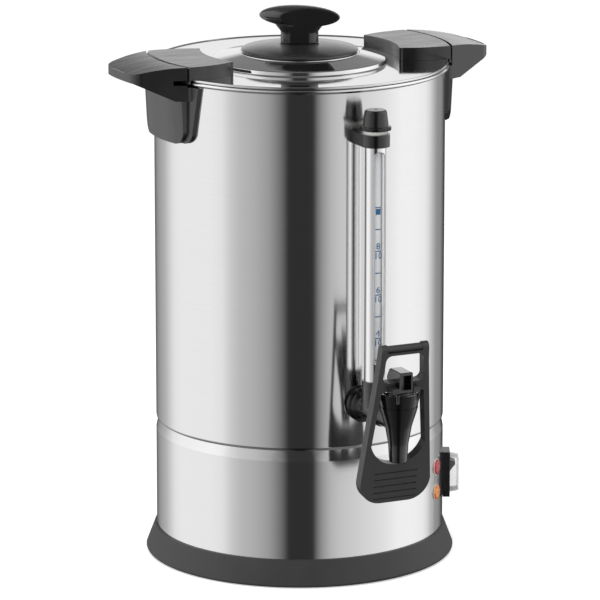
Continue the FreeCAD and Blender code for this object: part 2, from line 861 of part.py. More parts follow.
def handles():
    """The side handles are one moulding, turned half round: each lets the lid's foot in from its own side."""
    wall = size.tank_radius + size.fit_gap
    top = size.ear_height - 0.5
    inner = size.handle_inner_radius
    reach = size.handle_reach
    foot = size.handle_foot
    shoulder = size.lid_height - 5.8
    plan = padded("wing_plan", "XY_Plane", [
        (100, -42.5),
        (119, -42.5),
        (reach - 10, -31, 12),
        (reach - 2.6, -22, 110),
        (reach - 2.6, 22, 12),
        (reach - 10, 31),
        (119, 42.5),
        (100, 42.5),
    ], top + 4 - foot, foot)
    side = padded("wing_side", "XZ_Plane", [
        (100, shoulder - 12),
        (128.5, shoulder - 11),
        (reach - 4, top - 12.8),
        (reach, top - 12, 2.5),
        (reach + 1.6, top - 9.8),
        (reach + 1, top - 7.2, 2),
        (reach - 2, top - 5.6, 170),
        (inner, top),
        (100, top + 1),
    ], 120, 0, True)
    wing = common("wing_common", [plan, side])
    leg_ring = revolved("leg_ring", [
        (wall - 2, foot),
        (126.2, foot),
        (128.6, shoulder),
        (wall - 2, shoulder),
    ], 80)
    place(leg_ring, 0, 0, 0, Rotation(ALONG_Z, -40))
    leg_shape = padded("leg_shape", "YZ_Plane", [
        (-37.5, foot + 12, 12),
        (-25.5, foot),
        (25.5, foot, 12),
        (37.5, foot + 12),
        (37.5, shoulder),
        (-37.5, shoulder),
    ], 60, 90)
    leg = common("leg_common", [leg_ring, leg_shape])
    flange_ring = revolved("flange_ring", [
        (wall - 2, foot),
        (123.4, foot),
        (123.4, shoulder),
        (wall - 2, shoulder),
    ], 80)
    place(flange_ring, 0, 0, 0, Rotation(ALONG_Z, -40))
    flange_shape = padded("flange_shape", "YZ_Plane", [
        (-43, foot + 9, 10),
        (-34, foot + 1),
        (34, foot + 1, 10),
        (43, foot + 9),
        (49.8, shoulder),
        (-49.8, shoulder),
    ], 60, 90)
    flange = common("flange_common", [flange_ring, flange_shape])
    blank = fused("handle_blank", [wing, leg, flange])
    tools = [
        cylinder("tank_room", wall, 100, 0, 0, foot - 10),
        cylinder("ear_room", inner, 40, 0, 0, shoulder),
        common("lock_slot", [
            cylinder("slot_disc", inner + 9, 4.0, 0, 0, size.lid_height - 4),
            box("slot_reach", 60, 100, 8, 130, 14, size.lid_height - 6),
        ]),
    ]
    for height in HANDLE_SCREW_HEIGHTS:
        tools.append(radial_cylinder("handle_bore", HANDLE_SCREW_RADIUS, 118, 126, 90, height))
    right = node(cut("handle_cut", blank, tools), "handle_right")
    node(mirrored("handle_turned", mirrored("handle_mirror", right), ALONG_Y), "handle_left")


def handle_fasteners():
    screws = []
    washers = []
    washer_top = size.tank_radius - size.sheet_gauge - 0.15
    washer_foot = washer_top - 1
    radius = HANDLE_SCREW_RADIUS
    for side in HANDLE_SIDES:
        for height in HANDLE_SCREW_HEIGHTS:
            blank = radial_cylinder("washer_blank", 5, washer_foot, washer_top, side, height)
            hole = radial_cylinder("washer_hole", radius + 0.05, 110, 122, side, height)
            washers.append(cut("handle_washer", blank, [hole]))
            screw = revolved("handle_screw", [
                (0, washer_foot - 2.6),
                (2.6, washer_foot - 2.6, 2),
                (3.9, washer_foot - 1),
                (3.9, washer_foot),
                (radius, washer_foot),
                (radius, 125.6),
                (0, 125.6),
            ])
            screws.append(place(screw, 0, 0, height, outwards(side)))
    node(group("handle_washers_group", washers), "handle_washers")
    node(group("handle_screws_group", screws), "handle_screws")


# Gauge

SOCKET_TOP = size.shield_foot
SOCKET_SEAT = 166.0
SEAL_RADIUS = 7.6
SHIELD_SEAT_DEPTH = 1.0
CAP_NECK_RADIUS = 7.4


def gauge_shield():
    """A bright tube that guards the glass, slotted down its front and seated in the tap's socket."""
    outer = size.shield_radius
    foot = size.shield_foot - SHIELD_SEAT_DEPTH
    body = revolved("shield_body", [
        (outer - size.sheet_gauge, foot),
        (outer, foot),
        (outer, size.bracket_foot),
        (outer - size.sheet_gauge, size.bracket_foot),
    ])
    place(body, 0, -size.gauge_reach, 0)
    slot = 4.9
    low = size.shield_foot + 13.7 + slot
    high = size.bracket_foot - 3.6 - slot
    window = padded("shield_window", "XZ_Plane", [
        (-slot, low, slot),
        (0, low - slot, slot),
        (slot, low),
        (slot, high, slot),
        (0, high + slot, slot),
        (-slot, high),
    ], 20, size.gauge_reach)
    node(cut("shield_cut", body, [window]), "gauge_shield")


def gauge_glass():
    radius = size.gauge_tube_radius
    bottom = SOCKET_SEAT + 2
    top = size.bracket_foot + size.bracket_height + 9
    tube = revolved("tube_body", [
        (radius - 1.3, bottom),
        (radius, bottom),
        (radius, top),
        (radius - 1.3, top),
    ])
    node(place(tube, 0, -size.gauge_reach, 0), "gauge_tube")
    seal = revolved("seal_body", [
        (radius, bottom),
        (SEAL_RADIUS, bottom),
        (SEAL_RADIUS, SOCKET_TOP - 2.5),
        (radius, SOCKET_TOP - 2.5),
    ])
    node(place(seal, 0, -size.gauge_reach, 0), "gauge_seal")


def gauge_bracket():
    reach = size.gauge_reach
    half = size.gauge_half_width
    foot = size.bracket_foot
    height = size.bracket_height
    block = padded("bracket_body", "XY_Plane", [
        (-half, -110),
        (-half, -reach, half),
        (0, -reach - half, half),
        (half, -reach),
        (half, -110),
    ], height, foot)
    neck = cylinder("bracket_neck", CAP_NECK_RADIUS, 11, 0, -reach, foot + height)
    blank = fused("bracket_blank", [block, neck])
    tools = [
        cylinder("tank_room", size.tank_radius + size.fit_gap, 100, 0, 0, foot - 20),
        cylinder("tube_room", size.gauge_tube_radius + 0.1, 60, 0, -reach, foot - 10),
        radial_cylinder("bracket_bore", BRACKET_SCREW_RADIUS, 110, 130, 0, foot + height / 2),
    ]
    node(cut("bracket_cut", blank, tools), "gauge_bracket")
    inner = size.tank_radius - size.sheet_gauge - 0.1
    screw = revolved("bracket_screw_body", [
        (0, inner - 2.4),
        (2.6, inner - 2.4, 1.8),
        (3.9, inner - 1),
        (3.9, inner),
        (BRACKET_SCREW_RADIUS, inner),
        (BRACKET_SCREW_RADIUS, 129.5),
        (0, 129.5),
    ])
    node(place(screw, 0, 0, foot + height / 2, TOWARDS_TAP), "bracket_screw")


def gauge_cap():
    base = size.bracket_foot + size.bracket_height
    reach = size.gauge_reach
    seal = revolved("cap_seal_body", [
        (CAP_NECK_RADIUS + 0.1, base + 0.1),
        (9.8, base + 0.1),
        (9.8, base + 2.6),
        (CAP_NECK_RADIUS + 0.1, base + 2.6),
    ])
    node(place(seal, 0, -reach, 0), "gauge_cap_seal")
    ring = base + 2.8
    cap = revolved("cap_body", [
        (CAP_NECK_RADIUS + 0.2, ring),
        (11.4, ring),
        (12.1, ring + 0.7),
        (12.1, ring + 2.9),
        (11.4, ring + 3.6),
        (10.45, ring + 3.6),
        (9.0, ring + 15.4),
        (8.0, ring + 16.6),
        (1.1, ring + 16.6),
        (1.1, ring + 10),
        (CAP_NECK_RADIUS + 0.2, ring + 10),
    ])
    node(place(cap, 0, -reach, 0), "gauge_cap")


# Tap

FLANGE_RADIUS = 14.6
SHANK_RADIUS = 8.8
CHAMBER_RADIUS = 9.0
NECK_RADIUS = 13.0
BONNET_SEAT = size.tap_seam_height
COLLAR_HEIGHT = 178.5


def tap_shank():
    """The piece through the tank's wall, with the socket of the gauge glass on its back."""
    height = size.tap_height
    wall = size.tank_radius
    reach = size.gauge_reach
    spindle = revolved("shank_spindle", [
        (0, wall - 16),
        (SHANK_THREAD_RADIUS, wall - 16),
        (SHANK_THREAD_RADIUS, wall + 1.7),
        (FLANGE_RADIUS, wall + 1.7),
        (FLANGE_RADIUS, wall + 5.0),
        (FLANGE_RADIUS - 1.8, wall + 6.2),
        (FLANGE_RADIUS - 1.8, wall + 9.0),
        (SHANK_RADIUS + 1.4, wall + 11.0),
        (SHANK_RADIUS + 1.4, size.tap_reach - 28),
        (0, size.tap_reach - 28),
    ])
    place(spindle, 0, 0, height, TOWARDS_TAP)
    socket = revolved("socket", [
        (0, height),
        (10.5, height),
        (10.5, SOCKET_TOP - 0.8, 0.8),
        (9.7, SOCKET_TOP),
        (0, SOCKET_TOP),
    ])
    place(socket, 0, -reach, 0)
    blank = fused("shank_blank", [spindle, socket])
    tools = [
        radial_cylinder("shank_bore", size.water_bore, 90, 180, 0, height),
        cylinder("socket_bore", SEAL_RADIUS, 30, 0, -reach, SOCKET_SEAT),
        cylinder("shield_seat", size.shield_radius + size.fit_gap, 10, 0, -reach, SOCKET_TOP - SHIELD_SEAT_DEPTH),
        cylinder("socket_port", 3.6, 20, 0, -reach, height),
    ]
    node(cut("shank_cut", blank, tools), "tap_shank")


def ring_washer(label, radius, bore, inner, outer):
    blank = radial_cylinder(label + "_blank", radius, inner, outer, 0, size.tap_height)
    hole = radial_cylinder(label + "_hole", bore, 90, 140, 0, size.tap_height)
    return node(cut(label + "_cut", blank, [hole]), label)


def shank_fasteners():
    wall = size.tank_radius
    inside = wall - size.sheet_gauge
    ring_washer("tap_outer_washer", 13.6, SHANK_THREAD_RADIUS, wall + 0.1, wall + 1.7)
    ring_washer("tap_inner_washer", 13.6, SHANK_THREAD_RADIUS, inside - 2.4, inside - 0.85)
    turn = TOWARDS_TAP
    nut = hexagon("tap_nut_blank", 24, 6, 0, -(inside - 8.4), size.tap_height, turn)
    hole = radial_cylinder("tap_nut_hole", SHANK_THREAD_RADIUS, 90, 140, 0, size.tap_height)
    node(cut("tap_nut_cut", nut, [hole]), "tap_nut")


def tap_body():
    seam = size.tap_seam_height
    spout = size.spout_foot
    height = size.tap_height
    barrel = revolved("tap_barrel", [
        (0, spout),
        (6.7, spout),
        (7.2, spout + 0.6),
        (7.6, spout + 5),
        (8.2, spout + 15),
        (10.9, seam - 16.4),
        (14.8, seam - 3.9),
        (15.9, seam),
        (NECK_RADIUS, seam),
        (NECK_RADIUS, seam + 7),
        (0, seam + 7),
    ])
    place(barrel, 0, -size.tap_reach, 0)
    arm = radial_cylinder("tap_arm", SHANK_RADIUS, size.tap_reach - 28, size.tap_reach, 0, height)
    blank = fused("tap_blank", [barrel, arm])
    chamber_floor = height - 4.9
    chamber_blank = cylinder("chamber", CHAMBER_RADIUS, 30, 0, -size.tap_reach, chamber_floor)
    seat = cylinder("seat", 6.2, 2.6, 0, -size.tap_reach, chamber_floor)
    chamber = cut("chamber_cut", chamber_blank, [seat])
    tools = [
        chamber,
        cylinder("spout_bore", 4.6, 40, 0, -size.tap_reach, spout - 1),
        radial_cylinder("tap_bore", size.water_bore, size.tap_reach - 40, size.tap_reach - 7.2, 0, height),
    ]
    node(cut("tap_body_cut", blank, tools), "tap_body")


def tap_bonnet():
    seam = BONNET_SEAT + 0.1
    top = COLLAR_HEIGHT
    bonnet = revolved("bonnet_body", [
        (NECK_RADIUS + 0.1, seam),
        (15.3, seam),
        (18.0, seam + 11.1),
        (17.3, seam + 11.9),
        (14.5, seam + 11.9),
        (14.5, top - 0.4),
        (14.1, top),
        (2.8, top),
        (2.8, top - 4.5),
        (7.6, top - 4.5),
        (7.6, seam + 7.2),
        (NECK_RADIUS + 0.1, seam + 7.2),
    ])
    place(bonnet, 0, -size.tap_reach, 0)
    flutes = []
    for step in range(6):
        angle = math.radians(60 * step - 118)
        flute = doc.addObject("Part::Cone", "flute")
        flute.Radius1 = 0.3
        flute.Radius2 = 3.4
        flute.Height = 13
        spread = 17.6
        x = spread * math.cos(angle)
        place(flute, x, spread * math.sin(angle) - size.tap_reach, seam + 0.6)
        flutes.append(flute)
    node(cut("bonnet_cut", bonnet, flutes), "tap_bonnet")


def tap_stem():
    """The stem carries the seat cup below and a hollow-fronted block for the lever's pin above."""
    top = size.stem_head_top
    low = COLLAR_HEIGHT + 0.6
    half = size.stem_head_half_width
    front = -size.pivot_reach - size.stem_head_front
    back = size.stem_head_back - size.pivot_reach
    shaft = cylinder("stem_shaft", 2.6, low - 153 + 1, 0, -size.tap_reach, 153)
    block = padded("stem_block", "XZ_Plane", [
        (-half, low),
        (half, low),
        (half, top - 1.6, 1.6),
        (half - 1.6, top),
        (1.6 - half, top, 1.6),
        (-half, top - 1.6),
    ], 40, size.pivot_reach, True)
    wedge = padded("stem_wedge", "YZ_Plane", [
        (front, low),
        (back + 4.6, low),
        (back + 4.6, low + 9.4),
        (back, top),
        (front, top),
    ], 20, 0, True)
    head = common("stem_head", [block, wedge])
    slot = box("head_slot", 2 * half - 2.8, 14, top - low - 4.8, 0, front, low + 2.2)
    blank = fused("stem_blank", [shaft, head])
    bore = size.pin_radius + 0.05
    pin = cylinder("pin_bore", bore, 40, -20, -size.pivot_reach, size.pivot_height, TOWARDS_RIGHT)
    node(cut("stem_cut", blank, [slot, pin]), "tap_stem")
    cup = revolved("cup_body", [
        (0, size.tap_height - 2.25),
        (6.9, size.tap_height - 2.25),
        (6.9, size.tap_height - 0.6),
        (5.0, size.tap_height + 3.4),
        (2.6, size.tap_height + 3.4),
        (2.6, 153),
        (0, 153),
    ])
    node(place(cup, 0, -size.tap_reach, 0), "tap_seat_cup")
    spring_foot = size.tap_height + 3.5
    spring_top = COLLAR_HEIGHT - 4.6
    spring = revolved("spring_body", [
        (4.2, spring_foot),
        (5.4, spring_foot),
        (5.4, spring_top),
        (4.2, spring_top),
    ])
    node(place(spring, 0, -size.tap_reach, 0), "tap_spring")


LEVER_HALF_TOP = 20.7
LEVER_HALF_SHOULDER = 21.4
LEVER_HALF_PIVOT = 23.2
LEVER_HALF_FOOT = 31.2
LEVER_SHOULDER = 20.3
LEVER_HIP = -80.6
LEVER_BAR_HEIGHT = 31.6
GROOVE_HEIGHTS = (-74.7, -80.3, -86.0, -91.5, -97.0)


def tap_lever():
    """A leaning frame round the tap: bar above, rails past the bonnet and a ribbed pad below."""
    foot = size.lever_foot
    depth = size.lever_depth
    rail = size.lever_arm_width
    body = padded("lever_plate", "XZ_Plane", [
        (-12.5, foot),
        (12.5, foot, 19),
        (LEVER_HALF_FOOT, LEVER_HIP - 1.9),
        (LEVER_HALF_FOOT - 0.2, LEVER_HIP),
        (LEVER_HALF_PIVOT, 0),
        (LEVER_HALF_SHOULDER, LEVER_SHOULDER),
        (LEVER_HALF_TOP, LEVER_BAR_HEIGHT + 3.9),
        (-LEVER_HALF_TOP, LEVER_BAR_HEIGHT + 3.9),
        (-LEVER_HALF_SHOULDER, LEVER_SHOULDER),
        (-LEVER_HALF_PIVOT, 0),
        (0.2 - LEVER_HALF_FOOT, LEVER_HIP),
        (-LEVER_HALF_FOOT, LEVER_HIP - 1.9, 19),
    ], depth, 0, True)
    upper = [
        (rail - LEVER_HALF_PIVOT + 5.2, 3.5),
        (LEVER_HALF_PIVOT - 5.2 - rail, 3.5, 5),
        (LEVER_HALF_PIVOT - 0.6 - rail, 8.5),
        (LEVER_HALF_SHOULDER - rail, LEVER_SHOULDER + 1.3, 5.6),
        (LEVER_HALF_SHOULDER - 5.4 - rail, 27),
        (rail + 5.4 - LEVER_HALF_SHOULDER, 27, 5.6),
        (rail - LEVER_HALF_SHOULDER, LEVER_SHOULDER + 1.3),
        (rail + 0.6 - LEVER_HALF_PIVOT, 8.5, 5),
    ]
    lower = [
        (24, -50.4),
        (LEVER_HALF_PIVOT + 0.5 - rail, -7.4, 4.2),
        (LEVER_HALF_PIVOT - 3.8 - rail, -3.4),
        (rail + 3.8 - LEVER_HALF_PIVOT, -3.4, 4.2),
        (rail - 0.5 - LEVER_HALF_PIVOT, -7.4),
        (-24, -50.4, 25.2),
    ]
    pocket_through(body, "XZ_Plane", [upper, lower])
    side = padded("lever_side", "YZ_Plane", [
        (-depth / 2, foot - 1),
        (depth / 2, foot - 1),
        (depth / 2, 8),
        (3.8, LEVER_BAR_HEIGHT, 3.8),
        (0, LEVER_BAR_HEIGHT + 3.8, 3.8),
        (-3.8, LEVER_BAR_HEIGHT),
        (-depth / 2, 8),
    ], 80, 0, True)
    between = 2 * (LEVER_HALF_TOP - 5.2)
    grip_gap = box("grip_gap", between, 20, 8, 0, 0, LEVER_BAR_HEIGHT - 2.4)
    blade = cut("lever_blade", common("lever_frame", [body, side]), [grip_gap])
    turn = Rotation(ALONG_X, size.lever_lean.value)

    def leaned(thing, x, y, z, own=UPRIGHT):
        spot = turn.multVec(Vector(x, y, z))
        return place(thing, spot.x, spot.y - size.pivot_reach, spot.z + size.pivot_height, turn * own)

    leaned(blade, 0, 0, 0)
    bar = revolved("lever_bar", [
        (0, -18),
        (3.0, -18),
        (3.0, 18),
        (0, 18),
    ])
    leaned(bar, 0, -0.4, LEVER_BAR_HEIGHT, TOWARDS_RIGHT)
    cams = []
    for side in (-1, 1):
        cam = doc.addObject("Part::Box", "lever_cam")
        cam.Length = 6
        cam.Width = 12
        cam.Height = 4
        place(cam, side * 9.3 - 3, -size.pivot_reach - 10.9, COLLAR_HEIGHT + 0.6)
        cams.append(cam)
    blank = fused("lever_blank", [blade, bar] + cams)
    half = size.stem_head_half_width
    gap = box("head_gap", 2 * half + 0.7, 40, 12, 0, -size.pivot_reach, size.pivot_height - 6.2)
    pin = cylinder("pin_bore", size.pin_radius, 24.4, -12.2, -size.pivot_reach, size.pivot_height, TOWARDS_RIGHT)
    tools = [gap, pin]
    for height in GROOVE_HEIGHTS:
        groove = doc.addObject("Part::Box", "pad_groove")
        groove.Length = 38
        groove.Width = 2
        groove.Height = 1.1
        leaned(groove, -19, -size.lever_depth.value / 2 - 1.2, height - 0.55)
        tools.append(groove)
    node(cut("lever_cut", blank, tools), "tap_lever")
    pin_piece = cylinder("pin", size.pin_radius, 24, -12, -size.pivot_reach, size.pivot_height, TOWARDS_RIGHT)
    node(pin_piece, "lever_pin")


# Switch and lamps

def at_switch(thing, x, y, distance):
    """Set a piece in the switch's own frame: across, up from its middle, and out from the axis."""
    turn = outwards(size.switch_angle.value)
    across = turn.multVec(ALONG_X)
    away = turn.multVec(ALONG_Z)
    distance = as_size(distance)
    return place(thing, x * across.x + distance * away.x, x * across.y + distance * away.y,
                 size.switch_height + y, turn)


def switch():
    face = size.switch_face
    back = size.tank_radius + 0.02

    def block(name, width, height, inner, outer):
        thing = doc.addObject("Part::Box", name)
        thing.Length = width
        thing.Width = height
        bind(thing, "Height", as_size(outer) - inner)
        return at_switch(thing, -width / 2, -height / 2, inner)

    shell = fused("switch_shell", [
        block("switch_bezel", 18.6, 38.7, back, face),
        block("switch_box", 17.4, 36, face - 32, back),
    ])
    room = block("switch_room", 12.4, 30, face - 19, face + 1)
    pivot = cylinder("pivot_bore", 1.3, 16, 0, 0, 0)
    pivot_turn = outwards(size.switch_angle.value) * TOWARDS_RIGHT
    away = outwards(size.switch_angle.value).multVec(ALONG_Z)
    start = outwards(size.switch_angle.value).multVec(Vector(-8, 0, 0))
    hub = face - 8
    place(pivot, start.x + hub * away.x, start.y + hub * away.y, size.switch_height, pivot_turn)
    node(cut("switch_cut", shell, [room, pivot]), "switch_housing")
    rocker = padded("rocker_body", "YZ_Plane", [
        (-13.4, -2),
        (13.4, -2),
        (13.2, 5),
        (9.8, 12.2, 2),
        (7.0, 11.8, -36),
        (-6.6, 4.4),
        (-12.6, 5.6, 1.2),
        (-13.4, 4.6),
    ], 11.8, 0, True)
    at_switch(rocker, 0, 0, hub)
    axle = cylinder("rocker_axle", 1.2, 15.6, 0, 0, 0)
    start = outwards(size.switch_angle.value).multVec(Vector(-7.8, 0, 0))
    place(axle, start.x + hub * away.x, start.y + hub * away.y, size.switch_height, pivot_turn)
    node(fused("rocker_fuse", [rocker, axle]), "switch_rocker")
    outer = padded("cover_outer", "XY_Plane", [
        (-8.2, -15.4),
        (8.2, -15.4),
        (8.2, 15.4),
        (-8.2, 15.4),
    ], 7.4, 0, False, -8)
    at_switch(outer, 0, 0, face)
    inner = padded("cover_inner", "XY_Plane", [
        (-7.3, -14.5),
        (7.3, -14.5),
        (7.3, 14.5),
        (-7.3, 14.5),
    ], 6.5, 0, False, -8)
    at_switch(inner, 0, 0, face)
    node(cut("cover_cut", outer, [inner]), "switch_cover")


def lamps():
    angle = size.lamp_angle.value
    wall = size.tank_radius + size.fit_gap
    bezels = []
    bulbs = []
    for step, name in enumerate(("lamp_amber", "lamp_red")):
        height = size.lamp_height + step * size.lamp_pitch
        bezel = revolved("lamp_bezel", [
            (5.2, wall - 0.02),
            (7.0, wall - 0.02),
            (6.8, wall + 0.6),
            (5.2, wall + 0.6),
        ])
        bezels.append(place(bezel, 0, 0, height, outwards(angle)))
        lens = revolved(name + "_body", [
            (0, wall - 9),
            (5.15, wall - 9),
            (5.15, wall + 0.6),
            (6.3, wall + 0.6),
            (6.2, wall + 1.2),
            (5.5, wall + 1.9),
            (4.2, wall + 2.4),
            (2.2, wall + 2.7),
            (0, wall + 2.8),
        ])
        node(place(lens, 0, 0, height, outwards(angle)), name)
        bulbs.append(radial_cylinder("lamp_bulb", 2.6, wall - 24, wall - 9, angle, height))
    node(group("lamp_bezels_group", bezels), "lamp_bezels")
    node(group("lamp_bulbs_group", bulbs), "lamp_bulbs")


# Percolator

def percolator():
    radius = size.perc_stem_radius
    well = size.floor_height - size.well_depth
    foot = revolved("foot_body", [
        (31, well),
        (29.4, well + 4.8),
        (radius + 1.1, well + 10.2),
        (radius + 1.1, well + 14.2),
        (radius, well + 14.2),
        (radius, well + 9.1),
        (28.7, well + 3.9),
        (30, well),
    ])
    node(foot, "percolator_foot")
    basket_foot = size.basket_foot
    stem = revolved("perc_stem_body", [
        (radius - 0.8, well + 2),
        (radius + 1.5, well + 2),
        (radius + 1.5, well + 2.8),
        (radius, well + 2.8),
        (radius, basket_foot - 5),
        (radius + 1.5, basket_foot - 5),
        (radius + 3, basket_foot - 2),
        (radius + 3, basket_foot),
        (radius, basket_foot),
        (radius, size.perc_stem_top),
        (radius - 0.8, size.perc_stem_top),
    ])
    node(stem, "percolator_stem")
    valve = revolved("valve_body", [
        (radius + 0.2, well + 3.0),
        (11, well + 3.0),
        (11, well + 3.8),
        (radius + 0.2, well + 3.8),
    ])
    node(valve, "pump_valve")


def basket():
    foot = size.basket_foot
    top = foot + size.basket_height
    sleeve = size.perc_stem_radius + 0.5
    gauge = size.sheet_gauge
    outer = size.basket_radius
    body = revolved("basket_body", [
        (sleeve, foot),
        (outer - 1, foot),
        (outer, foot + 1),
        (outer + 2, top - gauge),
        (outer + 4, top - gauge),
        (outer + 4, top),
        (outer + 1.2, top),
        (outer - 0.8, foot + gauge),
        (sleeve + gauge, foot + gauge),
        (sleeve + gauge, foot + 60),
        (sleeve, foot + 60),
    ])
    for ring, count in ((16, 8), (28, 14), (40, 20), (52, 26), (64, 32)):
        ring_of_holes(body, foot, ring, 1.4, count)
    node(body, "coffee_basket")
    cover = revolved("basket_cover_body", [
        (sleeve, top),
        (outer + 3.4, top),
        (outer + 3.4, top + 4),
        (outer + 2.6, top + 4),
        (outer + 2.6, top + gauge),
        (sleeve + gauge, top + gauge),
        (sleeve + gauge, top + 9),
        (sleeve, top + 9),
    ])
    for ring, count in ((20, 10), (36, 18), (52, 26)):
        ring_of_holes(cover, top, ring, 1.4, count)
    node(cover, "basket_cover")


def write_parts():
    """Check that every object holds, then write one file for each sub-part."""
    doc.recompute()
    for thing in doc.Objects:
        faults = [state for state in thing.State if state in ("Invalid", "Error")]
        if faults:
            raise RuntimeError(thing.Label + " failed: " + ", ".join(faults))
    for thing in nodes:
        if thing.Shape.isNull() or not thing.Shape.isValid():
            raise RuntimeError(thing.Label + " has no valid shape")
    os.makedirs("parts", exist_ok=True)
    for thing in nodes:
        thing.Shape.exportStep("parts/" + thing.Label + ".step")
        box_of = thing.Shape.BoundBox
        print("%-20s solids %2d volume %10.1f  x %7.1f %7.1f  y %7.1f %7.1f  z %7.1f %7.1f" % (
            thing.Label, len(thing.Shape.Solids), thing.Shape.Volume, box_of.XMin, box_of.XMax,
            box_of.YMin, box_of.YMax, box_of.ZMin, box_of.ZMax))
    print(len(nodes), "nodes")


tank_wall()
tank_floor()
skirt()
base_ring()
foot_ring()
base_plate()
base_fasteners()
centre_stud()
heating()
terminal_block()
cord_gland()
wiring()
lid_shell()
lid_disc()
lid_knob()
knob_fasteners()
lid_ears()
handles()
handle_fasteners()
gauge_shield()
gauge_glass()
gauge_bracket()
gauge_cap()
tap_shank()
shank_fasteners()
tap_body()
tap_bonnet()
tap_stem()
tap_lever()
switch()
lamps()
percolator()
basket()
write_parts()
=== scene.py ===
import json
import math

import bmesh
import bpy
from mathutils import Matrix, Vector


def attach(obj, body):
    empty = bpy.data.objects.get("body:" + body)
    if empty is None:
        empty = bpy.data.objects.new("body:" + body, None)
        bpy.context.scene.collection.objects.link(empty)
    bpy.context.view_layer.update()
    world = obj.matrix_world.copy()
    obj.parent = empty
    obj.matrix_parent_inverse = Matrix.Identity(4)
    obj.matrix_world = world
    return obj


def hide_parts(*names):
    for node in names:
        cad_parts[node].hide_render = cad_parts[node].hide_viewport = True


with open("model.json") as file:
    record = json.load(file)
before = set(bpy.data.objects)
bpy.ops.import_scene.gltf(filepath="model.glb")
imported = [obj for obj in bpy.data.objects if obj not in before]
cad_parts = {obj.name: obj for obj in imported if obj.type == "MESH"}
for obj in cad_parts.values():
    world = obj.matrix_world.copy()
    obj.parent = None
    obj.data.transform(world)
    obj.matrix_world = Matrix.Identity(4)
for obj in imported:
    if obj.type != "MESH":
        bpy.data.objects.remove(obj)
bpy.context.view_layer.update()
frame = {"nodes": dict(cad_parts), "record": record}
nodes = frame["nodes"]
BODY_OF = {part: body for body, parts in frame["record"]["behaviour"]["bodies"].items() for part in parts}
MM = 0.001


# Small helpers

def linear(code):
    """Turn an sRGB hex colour into the linear values that a shader takes."""
    parts = [int(code[start:start + 2], 16) / 255 for start in (1, 3, 5)]
    return tuple(c / 12.92 if c <= 0.04045 else ((c + 0.055) / 1.055) ** 2.4 for c in parts) + (1.0,)


def add(tree, kind, inputs=None, stops=None, **settings):
    """Add one node with its settings and its ramp's stops, and set or link each of its inputs."""
    made = tree.nodes.new(kind)
    for name, value in settings.items():
        setattr(made, name, value)
    for name, value in (inputs or {}).items():
        if isinstance(value, bpy.types.NodeSocket):
            tree.links.new(value, made.inputs[name])
        else:
            made.inputs[name].default_value = value
    if stops:
        ramp = made.color_ramp
        ramp.elements.remove(ramp.elements[-1])
        for step, (at, level) in enumerate(stops):
            stop = ramp.elements[0] if step == 0 else ramp.elements.new(at)
            stop.position = at
            stop.color = (level, level, level, 1)
    return made


def material(name):
    made = bpy.data.materials.new(name)
    made.use_nodes = True
    made.node_tree.nodes.clear()
    return made, made.node_tree


def grain(tree, size_mm, detail=2.0):
    """Noise fixed in the piece, with the size of its lumps along each axis in millimetres."""
    place = add(tree, "ShaderNodeTexCoord")
    scale = tuple(1000 / size for size in size_mm)
    stretch = add(tree, "ShaderNodeMapping", {"Vector": place.outputs["Object"], "Scale": scale})
    return add(tree, "ShaderNodeTexNoise", {
        "Vector": stretch.outputs[0],
        "Scale": 1.0,
        "Detail": detail,
    }).outputs["Fac"]


# Finishes

# Noise seldom leaves these levels, so they are what a range is stretched over.
NOISE_LOW = 0.3
NOISE_HIGH = 0.7
FINE_DETAIL = 3.0
BRUSH_LENGTH_MM = 140
# Real brush lines are about 0.1 mm apart. These are 1 mm apart, so that they show.
BRUSH_PITCH_MM = 1
QUARTER_TURN = 0.25
CLOUD_MM = 25
SINK_MARK_MM = (34, 11, 34)
# How far a moulding's roughness strays, and how much smoother its skin is than its grain.
GLOSS_STRAY = 0.03
SKIN_POLISH = 0.04
# The painted glints in a lamp's lens are spaced like its facets, about 3 mm across.
FACETS_PER_METRE = 330.0
# How much of the thin cover shows where it faces the eye, and where it turns away.
COVER_FACE_ON = 0.12
COVER_EDGE_ON = 0.75
GLASS_IOR = 1.45
ACRYLIC_IOR = 1.49
PLASTIC_IOR = 1.5
SILICONE_IOR = 1.41


def brushed_steel(name, dark, light, smooth, rough, anisotropy):
    """Sheet metal with a grain that runs round it: upright things reflect as long soft smears."""
    made, tree = material(name)
    lines = grain(tree, (BRUSH_LENGTH_MM, BRUSH_LENGTH_MM, BRUSH_PITCH_MM), FINE_DETAIL)
    tone = add(tree, "ShaderNodeMix", {0: lines, 6: linear(dark), 7: linear(light)}, data_type="RGBA")
    gloss = add(tree, "ShaderNodeMapRange", {
        "Value": lines,
        "From Min": NOISE_LOW,
        "From Max": NOISE_HIGH,
        "To Min": smooth,
        "To Max": rough,
    })
    around = add(tree, "ShaderNodeTangent", direction_type="RADIAL", axis="Z")
    shader = add(tree, "ShaderNodeBsdfPrincipled", {
        "Base Color": tone.outputs[2],
        "Metallic": 1.0,
        "Roughness": gloss.outputs[0],
        "Anisotropic": anisotropy,
        "Anisotropic Rotation": QUARTER_TURN,
        "Tangent": around.outputs[0],
    })
    add(tree, "ShaderNodeOutputMaterial", {"Surface": shader.outputs[0]})
    return made


